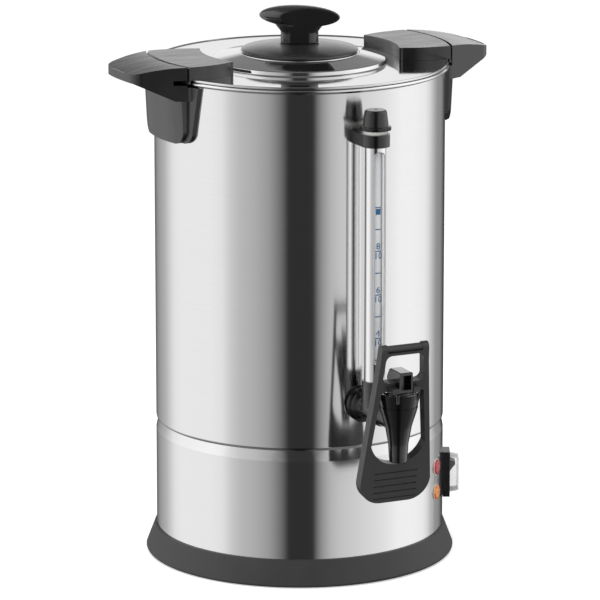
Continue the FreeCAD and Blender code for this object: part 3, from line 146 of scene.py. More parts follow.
def moulded(name, dark, light, rough, grain_mm, depth_mm, sink_mm=0.0, skin=0.0):
    """Moulded plastic: etched grain over slow sink marks, under the skin that the mould leaves."""
    made, tree = material(name)
    cloud = grain(tree, (CLOUD_MM,) * 3, FINE_DETAIL)
    tone = add(tree, "ShaderNodeMix", {0: cloud, 6: linear(dark), 7: linear(light)}, data_type="RGBA")
    gloss = add(tree, "ShaderNodeMapRange", {
        "Value": cloud,
        "From Min": NOISE_LOW,
        "From Max": NOISE_HIGH,
        "To Min": rough - GLOSS_STRAY,
        "To Max": rough + GLOSS_STRAY,
    })
    sink = add(tree, "ShaderNodeBump", {
        "Height": grain(tree, SINK_MARK_MM, 1.0),
        "Distance": sink_mm * MM,
    })
    etched = add(tree, "ShaderNodeBump", {
        "Height": grain(tree, (grain_mm,) * 3),
        "Distance": depth_mm * MM,
        "Normal": sink.outputs[0],
    })
    shader = add(tree, "ShaderNodeBsdfPrincipled", {
        "Base Color": tone.outputs[2],
        "Roughness": gloss.outputs[0],
        "IOR": PLASTIC_IOR,
        "Normal": etched.outputs[0],
        "Coat Weight": skin,
        "Coat Roughness": rough - SKIN_POLISH,
        "Coat Normal": sink.outputs[0],
    })
    add(tree, "ShaderNodeOutputMaterial", {"Surface": shader.outputs[0]})
    return made


def clear(name, tint, bright, rough, through):
    """Clear glass: it shows what is behind it, a little milky, with a hard gloss."""
    made, tree = material(name)
    cloud = grain(tree, (12, 12, 40), 2.0)
    tone = add(tree, "ShaderNodeMix", {0: cloud, 6: linear(tint), 7: linear(bright)}, data_type="RGBA")
    shader = add(tree, "ShaderNodeBsdfPrincipled", {
        "Base Color": tone.outputs[2],
        "Roughness": rough,
        "IOR": GLASS_IOR,
        "Transmission Weight": through,
    })
    add(tree, "ShaderNodeOutputMaterial", {"Surface": shader.outputs[0]})
    return made


def lens(name, deep, bright):
    """A tinted acrylic lens under a wet gloss, with painted glints: lighter colour at the middle of each
    cut facet, deep colour towards its edges.
    """
    made, tree = material(name)
    place = add(tree, "ShaderNodeTexCoord")
    cut = add(tree, "ShaderNodeTexVoronoi", {
        "Vector": place.outputs["Object"],
        "Scale": FACETS_PER_METRE,
    })
    # Painted glints: lighter colour at each facet's middle, where light would sparkle through it.
    shade = add(tree, "ShaderNodeMapRange", {"Value": cut.outputs["Distance"], "From Max": 0.9})
    tone = add(tree, "ShaderNodeMix", {0: shade.outputs[0], 6: linear(bright), 7: linear(deep)},
               data_type="RGBA")
    shader = add(tree, "ShaderNodeBsdfPrincipled", {
        "Base Color": tone.outputs[2],
        "Roughness": 0.12,
        "IOR": ACRYLIC_IOR,
        "Coat Weight": 0.6,
        "Subsurface Weight": 0.2,
        "Subsurface Scale": 0.002,
    })
    add(tree, "ShaderNodeOutputMaterial", {"Surface": shader.outputs[0]})
    return made


def soft_cover(name, tint, bright):
    """Clear silicone moulded thin: nearly unseen face on, and a grey outline where it turns away."""
    made, tree = material(name)
    cloud = grain(tree, (6, 6, 6), 2.0)
    tone = add(tree, "ShaderNodeMix", {0: cloud, 6: linear(tint), 7: linear(bright)}, data_type="RGBA")
    turn = add(tree, "ShaderNodeLayerWeight", {"Blend": 0.5})
    body = add(tree, "ShaderNodeMapRange", {
        "Value": turn.outputs["Facing"],
        "From Min": 0.1,
        "From Max": 0.95,
        "To Min": COVER_FACE_ON,
        "To Max": COVER_EDGE_ON,
    })
    shader = add(tree, "ShaderNodeBsdfPrincipled", {
        "Base Color": tone.outputs[2],
        "Roughness": 0.2,
        "IOR": SILICONE_IOR,
        "Alpha": body.outputs[0],
    })
    add(tree, "ShaderNodeOutputMaterial", {"Surface": shader.outputs[0]})
    return made


# Brushed round the drum: the room reflects as tall soft bands.
DRUM = brushed_steel("brushed stainless drum", "#EDEDED", "#F2F2F2", 0.12, 0.15, 0.85)
# Buffed after drawing: hard thin highlights down the tube.
GUARD = brushed_steel("polished stainless tube", "#F4F4F4", "#FAFAFA", 0.05, 0.07, 0.3)
# Spun and buffed: a mirror with a trace of rings.
LID = brushed_steel("spun stainless lid", "#E2E2E2", "#EAEAEA", 0.05, 0.08, 0.2)
# As the rollers leave it: grey with a wide dull sheen.
SHEET = brushed_steel("mill finish steel sheet", "#B4B4B2", "#C6C6C4", 0.30, 0.40, 0.2)
# Plated in a zinc bath: a cool grey, half dull from every side.
PLATED = brushed_steel("zinc plated steel", "#A9ABAC", "#C2C4C4", 0.26, 0.38, 0.0)
# Spun and left bare: pale, with soft rings.
ALUMINIUM = brushed_steel("spun aluminium", "#C9CACB", "#DADBDB", 0.28, 0.38, 0.4)
# Cut and only deburred: a pale line that mirrors nothing.
EDGE = brushed_steel("sheared steel edge", "#F4F4F4", "#FAFAFA", 0.50, 0.60, 0.0)
# Moulded thick, so that it sinks a little: black, with highlights that wander.
NYLON = moulded("grained nylon grip", "#131314", "#1C1C1D", 0.26, 0.9, 0.006, 0.24, 0.7)
# Pressed and tumbled: black with small clear highlights.
KNOB = moulded("satin phenolic knob", "#161617", "#1E1E1F", 0.20, 0.8, 0.006, 0.05, 1.0)
# Pressed against a coarse etch: a grain that breaks its highlights up.
DISC = moulded("coarse grained phenolic disc", "#1E1E1F", "#29292A", 0.30, 1.4, 0.035, 0.0, 1.0)
# Moulded in polished steel: deep black with wet highlights.
TAP = moulded("gloss acetal tap", "#0A0A0B", "#101011", 0.15, 1.0, 0.004, 0.04, 1.0)
# Moulded against a fine etch: dark grey with a wide soft sheen.
LEVER = moulded("satin nylon lever", "#2C2C2D", "#373738", 0.30, 0.9, 0.008, 0.05)
# Moulded half gloss: black, bright only along its edges.
CAP = moulded("satin acetal cap", "#0A0A0B", "#111112", 0.18, 0.8, 0.006, 0.0, 0.6)
# Moulded against a matt etch: an even dark grey.
BASE = moulded("grained polypropylene base", "#303031", "#3B3B3C", 0.50, 1.0, 0.03, 0.06)
# Cured in a dull mould: black without a highlight.
RUBBER = moulded("black nitrile rubber", "#1A1A1A", "#242424", 0.70, 1.0, 0.03)
# Moulded against a spark etch: black with a faint grain under a thin gloss.
SWITCH = moulded("matt nylon switch frame", "#0E0E0F", "#161617", 0.34, 0.9, 0.02, 0.0, 1.0)
# Moulded against a fine etch: a grey that stands out from its frame.
ROCKER = moulded("satin nylon rocker", "#2E2E30", "#3A3A3C", 0.32, 0.9, 0.015)
# Moulded of filled silicone: a soft dull white.
SEAL = moulded("white silicone seal", "#E6E6E2", "#F6F6F2", 0.50, 1.0, 0.01)
# Moulded of bare silicone: a cloudy greyish white.
MILKY = moulded("milky silicone washer", "#BDBDB6", "#D2D2CB", 0.50, 1.0, 0.01)
# Moulded in polished steel: off-white with a soft gloss.
BEZEL = moulded("pale nylon bezel", "#C9C9C6", "#DCDCD9", 0.25, 1.0, 0.005)
# Pressed and fired without a glaze: a dull cream.
CERAMIC = moulded("white steatite", "#D5D2C8", "#E6E3DA", 0.40, 1.0, 0.01)
# Woven and varnished: a rough cream that throws no highlight.
SLEEVE = moulded("woven glass fibre sleeve", "#B9B5A8", "#D0CDC2", 0.75, 1.2, 0.2)
# Printed and baked: an even matt blue.
INK = moulded("blue gauge ink", "#1C5885", "#2C6E9E", 0.50, 0.6, 0.01)
# Moulded with facets inside: deep colour, with painted glints as lighter specks.
RED = lens("red acrylic lens", "#A3121F", "#E24A55")
AMBER = lens("amber acrylic lens", "#D2570A", "#FFAE45")
# Drawn as a tube, and dulled by scale inside: pale, with a hard gloss.
GLASS = clear("clear gauge glass", "#E6E9EC", "#F4F6F8", 0.10, 0.18)
# Blown thin: clear and faintly warm.
BULB = clear("neon lamp glass", "#E8E2D0", "#F3EFE2", 0.05, 0.9)
# Moulded thin and soft: the rocker shows through it.
COVER = soft_cover("clear silicone cover", "#9C9F9F", "#BCBFBF")

FINISHES = {
    DRUM: ("tank_wall", "skirt"),
    GUARD: ("gauge_shield",),
    LID: ("lid_shell",),
    SHEET: ("tank_floor", "base_plate", "element_clamps", "tap_nut", "pump_valve", "warm_element"),
    PLATED: ("base_screws", "base_nuts", "centre_stud", "centre_nut", "knob_washer", "knob_screw",
             "ear_screws", "handle_washers", "handle_screws", "bracket_screw", "tap_spring", "lever_pin"),
    ALUMINIUM: ("brew_element", "percolator_foot", "percolator_stem", "coffee_basket", "basket_cover"),
    NYLON: ("lid_ear_right", "lid_ear_left", "handle_right", "handle_left"),
    KNOB: ("lid_knob",),
    DISC: ("lid_disc",),
    TAP: ("tap_shank", "tap_body", "tap_bonnet", "tap_stem"),
    LEVER: ("tap_lever",),
    CAP: ("gauge_cap", "gauge_bracket"),
    BASE: ("base_ring",),
    RUBBER: ("foot_ring", "tap_outer_washer"),
    SWITCH: ("switch_housing", "cord_gland"),
    ROCKER: ("switch_rocker",),
    SEAL: ("gauge_cap_seal",),
    MILKY: ("gauge_seal", "tap_inner_washer", "tap_seat_cup"),
    BEZEL: ("lamp_bezels",),
    CERAMIC: ("thermostat", "thermal_fuse", "terminal_block"),
    SLEEVE: ("wiring_harness",),
    RED: ("lamp_red",),
    AMBER: ("lamp_amber",),
    GLASS: ("gauge_tube",),
    COVER: ("switch_cover",),
    BULB: ("lamp_bulbs",),
}
for finish, names in FINISHES.items():
    for name in names:
        slots = nodes[name].data.materials
        slots.clear()
        slots.append(finish)
FINISH_OF = {name: finish for finish, names in FINISHES.items() for name in names}


# Making and placing pieces

MERGE_MM = 0.004
FLAT_DEGREES = 0.6
SHARP_DEGREES = 32
ROUND_SEGMENTS = 3
FLAT_FACE_WEIGHT = 80


def new_piece(name, mesh, finish):
    mesh.materials.clear()
    mesh.materials.append(finish)
    piece = bpy.data.objects.new(name, mesh)
    bpy.context.scene.collection.objects.link(piece)
    return piece


def merged_copy(node_name):
    """A node's mesh with its loose triangles joined and its flat faces whole."""
    form = bmesh.new()
    form.from_mesh(nodes[node_name].data)
    bmesh.ops.remove_doubles(form, verts=form.verts, dist=MERGE_MM * MM)
    flat = math.radians(FLAT_DEGREES)
    bmesh.ops.dissolve_limit(form, angle_limit=flat, verts=form.verts, edges=form.edges)
    mesh = bpy.data.meshes.new(node_name)
    form.to_mesh(mesh)
    form.free()
    return mesh


def settled(piece):
    """Turn what a piece's modifiers make into its plain mesh."""
    bpy.context.view_layer.update()
    ready = piece.evaluated_get(bpy.context.evaluated_depsgraph_get())
    mesh = bpy.data.meshes.new_from_object(ready)
    piece.modifiers.clear()
    piece.data = mesh
    return piece


def faced_outwards(piece):
    """Point a closed piece's faces away from its inside."""
    form = bmesh.new()
    form.from_mesh(piece.data)
    bmesh.ops.recalc_face_normals(form, faces=form.faces)
    form.to_mesh(piece.data)
    form.free()


def rounded(piece, width_mm, sharpest):
    """Soften the edges that turn by more than so many degrees, as a mould or a press leaves them."""
    for polygon in piece.data.polygons:
        polygon.use_smooth = True
    rounds = piece.modifiers.new("rounds", "BEVEL")
    rounds.width = width_mm * MM
    rounds.segments = ROUND_SEGMENTS
    rounds.limit_method = "ANGLE"
    rounds.angle_limit = math.radians(sharpest)
    rounds.miter_outer = "MITER_ARC"
    shade = piece.modifiers.new("shade", "WEIGHTED_NORMAL")
    shade.keep_sharp = False
    shade.weight = FLAT_FACE_WEIGHT
    return settled(piece)


def stands_for(piece, node_name):
    """Show a piece in its node's place, on the same body, and hide the node."""
    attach(piece, BODY_OF[node_name])
    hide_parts(node_name)


def goes_with(piece, node_name):
    """Add a piece beside its node, on the same body."""
    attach(piece, BODY_OF[node_name])


def softened(node_name, width_mm, sharpest=SHARP_DEGREES):
    """The node with small rounds along its edges."""
    piece = new_piece(node_name + "_soft", merged_copy(node_name), FINISH_OF[node_name])
    stands_for(rounded(piece, width_mm, sharpest), node_name)


def melted(node_name, grid_mm, passes):
    """The node with its walls blended into each other, as one moulding."""
    piece = new_piece(node_name + "_moulding", merged_copy(node_name), FINISH_OF[node_name])
    skin = piece.modifiers.new("skin", "REMESH")
    skin.mode = "VOXEL"
    skin.voxel_size = grid_mm * MM
    skin.use_smooth_shade = True
    blend = piece.modifiers.new("blend", "SMOOTH")
    blend.factor = 0.5
    blend.iterations = passes
    stands_for(settled(piece), node_name)


# What repeats or follows a rule

SEAM_MM = 0.002
BEND_POINTS = 9
BEAD_SIDES = 10


def sized_tree(name, sizes):
    """An empty Geometry Nodes tree with its named inputs."""
    tree = bpy.data.node_groups.new(name, "GeometryNodeTree")
    tree.interface.new_socket("Geometry", in_out="OUTPUT", socket_type="NodeSocketGeometry")
    tree.interface.new_socket("Geometry", in_out="INPUT", socket_type="NodeSocketGeometry")
    for label, kind in sizes.items():
        tree.interface.new_socket(label, in_out="INPUT", socket_type="NodeSocket" + kind)
    return tree, add(tree, "NodeGroupInput").outputs


def close_tree(tree, geometry, finish):
    """End a tree: its copies become plain faces with the finish on them."""
    whole = add(tree, "GeometryNodeRealizeInstances", {"Geometry": geometry})
    coated = add(tree, "GeometryNodeSetMaterial", {"Geometry": whole.outputs[0], "Material": finish})
    add(tree, "NodeGroupOutput", {"Geometry": coated.outputs[0]})


def grown(name, start, tree, finish, **sizes):
    """What a tree makes of a mesh with the given sizes, as a plain mesh."""
    piece = new_piece(name, start, finish)
    grow = piece.modifiers.new("grow", "NODES")
    grow.node_group = tree
    sizes["Finish"] = finish
    for item in tree.interface.items_tree:
        if item.in_out == "INPUT" and item.name in sizes:
            grow[item.identifier] = sizes[item.name]
    return settled(piece)


def lathe_tree():
    """Turns a closed profile, given as points, round the upright axis."""
    tree, given = sized_tree("lathe", {"Steps": "Int", "Finish": "Material"})
    profile = given["Geometry"]
    points = add(tree, "GeometryNodeAttributeDomainSize", {"Geometry": profile}).outputs["Point Count"]
    rows = add(tree, "ShaderNodeMath", {0: points, 1: 1.0})
    columns = add(tree, "ShaderNodeMath", {0: given["Steps"], 1: 1.0})
    sheet = add(tree, "GeometryNodeMeshGrid", {
        "Vertices X": columns.outputs[0],
        "Vertices Y": rows.outputs[0],
    })
    index = add(tree, "GeometryNodeInputIndex")
    share = add(tree, "ShaderNodeMath", {0: index.outputs[0], 1: rows.outputs[0]}, operation="DIVIDE")
    column = add(tree, "ShaderNodeMath", {0: share.outputs[0]}, operation="FLOOR")
    row = add(tree, "ShaderNodeMath", {0: index.outputs[0], 1: rows.outputs[0]}, operation="MODULO")
    point = add(tree, "ShaderNodeMath", {0: row.outputs[0], 1: points}, operation="MODULO")
    position = add(tree, "GeometryNodeInputPosition")
    spot = add(tree, "GeometryNodeSampleIndex", {
        "Geometry": profile,
        "Value": position.outputs[0],
        "Index": point.outputs[0],
    }, data_type="FLOAT_VECTOR")
    turns = add(tree, "ShaderNodeMath", {0: column.outputs[0], 1: given["Steps"]}, operation="DIVIDE")
    angle = add(tree, "ShaderNodeMath", {0: turns.outputs[0], 1: math.tau}, operation="MULTIPLY")
    swung = add(tree, "ShaderNodeVectorRotate", {"Vector": spot.outputs[0], "Angle": angle.outputs[0]},
                rotation_type="Z_AXIS")
    moved = add(tree, "GeometryNodeSetPosition", {
        "Geometry": sheet.outputs[0],
        "Position": swung.outputs[0],
    })
    closed = add(tree, "GeometryNodeMergeByDistance", {
        "Geometry": moved.outputs[0],
        "Distance": SEAM_MM * MM,
    })
    close_tree(tree, closed.outputs[0], given["Finish"])
    return tree


def marks_tree():
    """Short lines printed across a glass tube, one above the other."""
    tree, given = sized_tree("gauge lines", {
        "Count": "Int",
        "Pitch": "Float",
        "Width": "Float",
        "Height": "Float",
        "Depth": "Float",
        "Radius": "Float",
        "Finish": "Material",
    })
    size = add(tree, "ShaderNodeCombineXYZ", {
        "X": given["Width"],
        "Y": given["Depth"],
        "Z": given["Height"],
    })
    strip = add(tree, "GeometryNodeMeshCube", {"Size": size.outputs[0], "Vertices X": BEND_POINTS})
    position = add(tree, "GeometryNodeInputPosition")
    flat = add(tree, "ShaderNodeSeparateXYZ", {"Vector": position.outputs[0]})
    reach = add(tree, "ShaderNodeMath", {0: flat.outputs["Y"], 1: given["Radius"]}, operation="SUBTRACT")
    start = add(tree, "ShaderNodeCombineXYZ", {"Y": reach.outputs[0], "Z": flat.outputs["Z"]})
    angle = add(tree, "ShaderNodeMath", {0: flat.outputs["X"], 1: given["Radius"]}, operation="DIVIDE")
    bent = add(tree, "ShaderNodeVectorRotate", {"Vector": start.outputs[0], "Angle": angle.outputs[0]},
               rotation_type="Z_AXIS")
    curved = add(tree, "GeometryNodeSetPosition", {
        "Geometry": strip.outputs[0],
        "Position": bent.outputs[0],
    })
    step = add(tree, "ShaderNodeCombineXYZ", {"Z": given["Pitch"]})
    spots = add(tree, "GeometryNodeMeshLine", {"Count": given["Count"], "Offset": step.outputs[0]})
    lines = add(tree, "GeometryNodeInstanceOnPoints", {
        "Points": spots.outputs[0],
        "Instance": curved.outputs[0],
    })
    close_tree(tree, lines.outputs[0], given["Finish"])
    return tree


def ribs_tree():
    """Upright ribs round the rim of a screw cap."""
    tree, given = sized_tree("grip ribs", {
        "Count": "Int",
        "Radius": "Float",
        "Width": "Float",
        "Height": "Float",
        "Finish": "Material",
    })
    size = add(tree, "ShaderNodeCombineXYZ", {
        "X": given["Width"],
        "Y": given["Width"],
        "Z": given["Height"],
    })
    rib = add(tree, "GeometryNodeMeshCube", {"Size": size.outputs[0]})
    ring = add(tree, "GeometryNodeMeshCircle", {"Vertices": given["Count"], "Radius": given["Radius"]})
    index = add(tree, "GeometryNodeInputIndex")
    share = add(tree, "ShaderNodeMath", {0: index.outputs[0], 1: given["Count"]}, operation="DIVIDE")
    angle = add(tree, "ShaderNodeMath", {0: share.outputs[0], 1: math.tau}, operation="MULTIPLY")
    turn = add(tree, "ShaderNodeCombineXYZ", {"Z": angle.outputs[0]})
    ribs = add(tree, "GeometryNodeInstanceOnPoints", {
        "Points": ring.outputs[0],
        "Instance": rib.outputs[0],
        "Rotation": turn.outputs[0],
    })
    close_tree(tree, ribs.outputs[0], given["Finish"])
    return tree


def bead_tree():
    """A round bead along a closed line."""
    tree, given = sized_tree("bead", {"Radius": "Float", "Finish": "Material"})
    line = add(tree, "GeometryNodeMeshToCurve", {"Mesh": given["Geometry"]})
    section = add(tree, "GeometryNodeCurvePrimitiveCircle", {
        "Resolution": BEAD_SIDES,
        "Radius": given["Radius"],
    })
    bead = add(tree, "GeometryNodeCurveToMesh", {
        "Curve": line.outputs[0],
        "Profile Curve": section.outputs[0],
    })
    close_tree(tree, bead.outputs[0], given["Finish"])
    return tree


def line_mesh(name, points, closed=False):
    """Points in millimetres as a mesh, joined in a ring where it is closed."""
    count = len(points)
    edges = [(step, (step + 1) % count) for step in range(count)] if closed else []
    mesh = bpy.data.meshes.new(name)
    mesh.from_pydata([(x * MM, y * MM, z * MM) for x, y, z in points], edges, [])
    return mesh


# Drum and lid

TANK_RADIUS = 120.0
SHEET_GAUGE = 0.8
RIM_HEIGHT = 412.4
RIM_BEAD = 1.6
WALL_FOOT = 113.9
LID_HEIGHT = 414.0
LID_RADIUS = 122.4
LID_STEP_RADIUS = 73.4
LID_CROWN = 422.8
LID_TOP_RADIUS = 46
LID_HOLE_RADIUS = 2.8
DISC_RADIUS = 48.2
# The hem goes down inside the drum.
HEM_RADIUS = TANK_RADIUS - SHEET_GAUGE - 2.4
HEM_DEPTH = 9
TURNING_STEPS = 256
LATHE = lathe_tree()


def turned(node_name, outline, width_mm, sharpest):
    """A sheet piece spun from its profile of radius and height, with its edges rounded."""
    profile = line_mesh(node_name, [(radius, 0, height) for radius, height in outline])
    finish = FINISH_OF[node_name]
    piece = grown(node_name + "_turned", profile, LATHE, finish, Steps=TURNING_STEPS)
    faced_outwards(piece)
    stands_for(rounded(piece, width_mm, sharpest), node_name)


def rim_curl():
    """The rolled bead of the drum's rim, from its foot up and over to the wall's inner face."""
    middle = (TANK_RADIUS + RIM_BEAD, RIM_HEIGHT - RIM_BEAD)
    points = []
    for degrees in range(-90, 91, 18):
        turn = math.radians(degrees)
        points.append((middle[0] + RIM_BEAD * math.cos(turn), middle[1] + RIM_BEAD * math.sin(turn)))
    return points


# The foot of the wall turns in to meet the skirt's neck.
turned("tank_wall", [
    (TANK_RADIUS - SHEET_GAUGE, WALL_FOOT + 3.2),
    (TANK_RADIUS - 1.0, WALL_FOOT + 1.6),
    (TANK_RADIUS - 1.65, WALL_FOOT),
    (TANK_RADIUS - 1.4, WALL_FOOT),
    (TANK_RADIUS - 0.75, WALL_FOOT + 0.7),
    (TANK_RADIUS - 0.25, WALL_FOOT + 1.6),
    (TANK_RADIUS, WALL_FOOT + 3.0),
    (TANK_RADIUS, RIM_HEIGHT - 2.4 * RIM_BEAD),
    *rim_curl(),
    (TANK_RADIUS, RIM_HEIGHT),
    (TANK_RADIUS - SHEET_GAUGE, RIM_HEIGHT - SHEET_GAUGE),
], 0.5, 40)
turned("lid_shell", [
    (LID_HOLE_RADIUS, LID_CROWN - SHEET_GAUGE),
    (LID_TOP_RADIUS - 0.4, LID_CROWN - SHEET_GAUGE),
    (LID_STEP_RADIUS - 3.6, LID_HEIGHT + 3.2),
    (LID_STEP_RADIUS - 1.2, LID_HEIGHT - SHEET_GAUGE),
    (HEM_RADIUS - SHEET_GAUGE, LID_HEIGHT - SHEET_GAUGE),
    (HEM_RADIUS - SHEET_GAUGE, LID_HEIGHT - HEM_DEPTH),
    (HEM_RADIUS, LID_HEIGHT - HEM_DEPTH),
    (HEM_RADIUS, LID_HEIGHT - SHEET_GAUGE),
    (LID_RADIUS - 1.4, LID_HEIGHT - SHEET_GAUGE - 0.4),
    (LID_RADIUS, LID_HEIGHT - SHEET_GAUGE - 0.3),
    (LID_RADIUS, LID_HEIGHT + 0.3),
    (LID_RADIUS - 0.5, LID_HEIGHT + 0.8),
    (LID_RADIUS - 1.1, LID_HEIGHT + 0.7),
    (LID_RADIUS - 2.0, LID_HEIGHT),
    (LID_STEP_RADIUS + 0.4, LID_HEIGHT),
    (LID_STEP_RADIUS - 1.0, LID_HEIGHT + 0.7),
    (LID_STEP_RADIUS - 1.9, LID_HEIGHT + 3.3),
    (LID_STEP_RADIUS - 2.9, LID_HEIGHT + 3.9),
    (DISC_RADIUS + 1.3, LID_CROWN - 0.8),
    (DISC_RADIUS + 1.0, LID_CROWN - 0.1),
    (DISC_RADIUS + 0.5, LID_CROWN - 0.1),
    (DISC_RADIUS + 0.2, LID_CROWN - 0.6),
    (LID_TOP_RADIUS, LID_CROWN),
    (LID_HOLE_RADIUS, LID_CROWN),
], 0.4, 12)
# The skirt is pressed with wide rounds, also where it turns only a little.
softened("skirt", 3.4, 7)
softened("base_ring", 0.6)
softened("lid_disc", 0.5)
melted("lid_knob", 0.55, 12)


# Handles, tap and switch

# How wide the mould rounds each piece's edges, in millimetres.
MOULD_ROUNDS = {
    "lid_ear_right": 0.8,
    "handle_right": 0.9,
    "lid_ear_left": 0.8,
    "handle_left": 0.9,
    "tap_lever": 0.9,
    "tap_stem": 0.5,
    "tap_bonnet": 0.4,
    "tap_shank": 0.5,
    "tap_body": 0.6,
    "switch_housing": 0.5,
    "switch_rocker": 0.5,
}
for node_name, width_mm in MOULD_ROUNDS.items():
    softened(node_name, width_mm)
melted("switch_cover", 0.36, 10)


# Gauge

GAUGE_REACH = 143.5
GLASS_RADIUS = 5.5
GUARD_RADIUS = 8.6
SLOT_HALF_WIDTH = 4.9
SLOT_LOW = 195.0
SLOT_HIGH = 360.5
SLOT_END_STEP = 12
BEAD_RADIUS = 0.5
# The bead's middle lies in the tube's wall.
BEAD_INSET = 0.35
FULL_HEIGHT = 319.9
MARK_PITCH = 17.95
MARK_COUNT = 8
MARK_WIDTH = 5.0
MARK_HEIGHT = 0.8
# The full mark is a block that hangs from the top line.
FULL_BLOCK_WIDTH = 4.4
FULL_BLOCK_HEIGHT = 4.8
FULL_BLOCK_DROP = 3.5
INK_DEPTH = 0.08
INK_LIFT = 0.04
FIGURE_SIZE = 7.4
FIGURE_DEPTH = 0.05
FIGURE_LIFT = 0.12
# How far a figure's middle is from its line.
FIGURE_RISE = 3.9
FIGURE_CURVE_STEPS = 4
CAP_RIM_HEIGHT = 382.7
RIB_COUNT = 36
RIB_RING_RADIUS = 11.95
RIB_WIDTH = 1.1
RIB_HEIGHT = 2.6
RIB_RISE = 1.0


def on_glass(piece, height_mm):
    """Move a piece made round the upright axis to its height on the glass."""
    place = Vector((0, -GAUGE_REACH, height_mm)) * MM
    for vertex in piece.data.vertices:
        vertex.co += place


def printed(name, tree, count, width_mm, height_mm, lowest_mm):
    """One or more marks on the glass, the lowest at its own height."""
    marks = grown(name, bpy.data.meshes.new(name), tree, INK, Count=count, Pitch=MARK_PITCH * MM,
                  Width=width_mm * MM, Height=height_mm * MM, Depth=INK_DEPTH * MM,
                  Radius=(GLASS_RADIUS + INK_LIFT) * MM)
    on_glass(marks, lowest_mm)
    goes_with(marks, "gauge_tube")


def gauge_lines():
    tree = marks_tree()
    lowest = FULL_HEIGHT - (MARK_COUNT - 1) * MARK_PITCH
    printed("gauge_lines", tree, MARK_COUNT, MARK_WIDTH, MARK_HEIGHT, lowest)
    printed("full_mark", tree, 1, FULL_BLOCK_WIDTH, FULL_BLOCK_HEIGHT, FULL_HEIGHT - FULL_BLOCK_DROP)


def figure_mesh(text):
    """A figure lying flat, with its middle at the origin."""
    letters = bpy.data.curves.new("number", "FONT")
    letters.body = text
    letters.size = FIGURE_SIZE * MM
    letters.align_x = "CENTER"
    letters.align_y = "CENTER"
    letters.extrude = FIGURE_DEPTH * MM
    letters.resolution_u = FIGURE_CURVE_STEPS
    blank = bpy.data.objects.new("number", letters)
    bpy.context.scene.collection.objects.link(blank)
    bpy.context.view_layer.update()
    ready = blank.evaluated_get(bpy.context.evaluated_depsgraph_get())
    mesh = bpy.data.meshes.new_from_object(ready)
    bpy.data.objects.remove(blank)
    return mesh


def gauge_numbers():
    """Tenths over ten, above and below their lines, bent to the glass."""
    joined = bmesh.new()
    for tenths in (4, 6, 8):
        line_height = FULL_HEIGHT - (10 - tenths) * MARK_PITCH
        for text, up in ((str(tenths), FIGURE_RISE), ("10", -FIGURE_RISE)):
            mesh = figure_mesh(text)
            for vertex in mesh.vertices:
                across, high, out = vertex.co
                reach = (GLASS_RADIUS + FIGURE_LIFT) * MM + out
                angle = across / (GLASS_RADIUS * MM)
                vertex.co = (reach * math.sin(angle), -reach * math.cos(angle), high + up * MM)
                vertex.co.z += line_height * MM
            joined.from_mesh(mesh)
    mesh = bpy.data.meshes.new("gauge_numbers")
    joined.to_mesh(mesh)
    joined.free()
    numbers = new_piece("gauge_numbers", mesh, INK)
    on_glass(numbers, 0)
    goes_with(numbers, "gauge_tube")


def slot_bead():
    """The pale cut edge round the guard's slot, from its upper end round by its lower one."""
    outline = []
    for end_height, first in ((SLOT_HIGH, 0), (SLOT_LOW, 180)):
        for degrees in range(first, first + 181, SLOT_END_STEP):
            turn = math.radians(degrees)
            up = end_height + SLOT_HALF_WIDTH * math.sin(turn)
            outline.append((SLOT_HALF_WIDTH * math.cos(turn), up))
    reach = GUARD_RADIUS - BEAD_INSET
    points = [(x, -GAUGE_REACH - math.sqrt(reach ** 2 - x ** 2), z) for x, z in outline]
    line = line_mesh("slot_bead", points, True)
    bead = grown("slot_bead", line, bead_tree(), EDGE, Radius=BEAD_RADIUS * MM)
    faced_outwards(bead)
    for polygon in bead.data.polygons:
        polygon.use_smooth = True
    goes_with(bead, "gauge_shield")


def cap_ribs():
    ribs = grown("cap_ribs", bpy.data.meshes.new("cap_ribs"), ribs_tree(), CAP, Count=RIB_COUNT,
                 Radius=RIB_RING_RADIUS * MM, Width=RIB_WIDTH * MM, Height=RIB_HEIGHT * MM)
    on_glass(ribs, CAP_RIM_HEIGHT + RIB_RISE)
    goes_with(ribs, "gauge_cap")


softened("gauge_bracket", 0.4)
softened("gauge_cap", 0.5)
gauge_lines()
gauge_numbers()
slot_bead()
cap_ribs()


# Room, lamps and camera

# The way from the urn to the camera, round from the X axis.
CAMERA_SIDE = -115
# How bright the gloss sees the room, by degrees from the camera's side towards its right.
ROOM = (
    (-180, 0.1),
    (-165, 0.15),
    (-155, 0.3),
    (-135, 0.5),
    (-120, 0.85),
    (-110, 0.92),
    (-75, 0.92),
    (-64, 0.86),
    (-56, 0.66),
    (-48, 0.55),
    (-35, 0.47),
    (-24, 0.36),
    (-14, 0.16),
    (-9, 0.03),
    (11, 0.03),
    (15, 0.22),
    (19, 0.36),
    (25, 0.52),
    (32, 0.62),
    (70, 0.85),
    (87, 1.0),
    (102, 1.0),
    (118, 0.94),
    (125, 0.78),
    (132, 0.53),
    (140, 0.32),
    (151, 0.28),
    (164, 0.05),
)
# What it sees over its head, by the height of the ray: 0 is level and 1 is straight up.
CEILING = (
    (0.0, 0.95),
    (0.2, 0.95),
    (0.3, 0.26),
    (0.6, 0.2),
    (1.0, 0.12),
)
SCREEN_FOOT = (-0.6, -0.36)
SCREEN_FOOT_LEVEL = 0.2
SCREEN_EYE = (-0.1, 0.1)
SCREEN_HEAD_LEVEL = 1.2
# The screens grow taller over this part of the way from behind the urn, -1, to the camera, 1.
SCREEN_RISE = (-0.9, -0.4)
# Their tops before and after it.
SCREEN_TOPS = (-0.04, 0.85)
SCREEN_TOP_BLUR = 0.04
FILL_LEVEL = 0.55
TABLE_GLOW = 0.46
TABLE_HALF = 12.0
LAMP_AIM = (0, 0, 0.25)


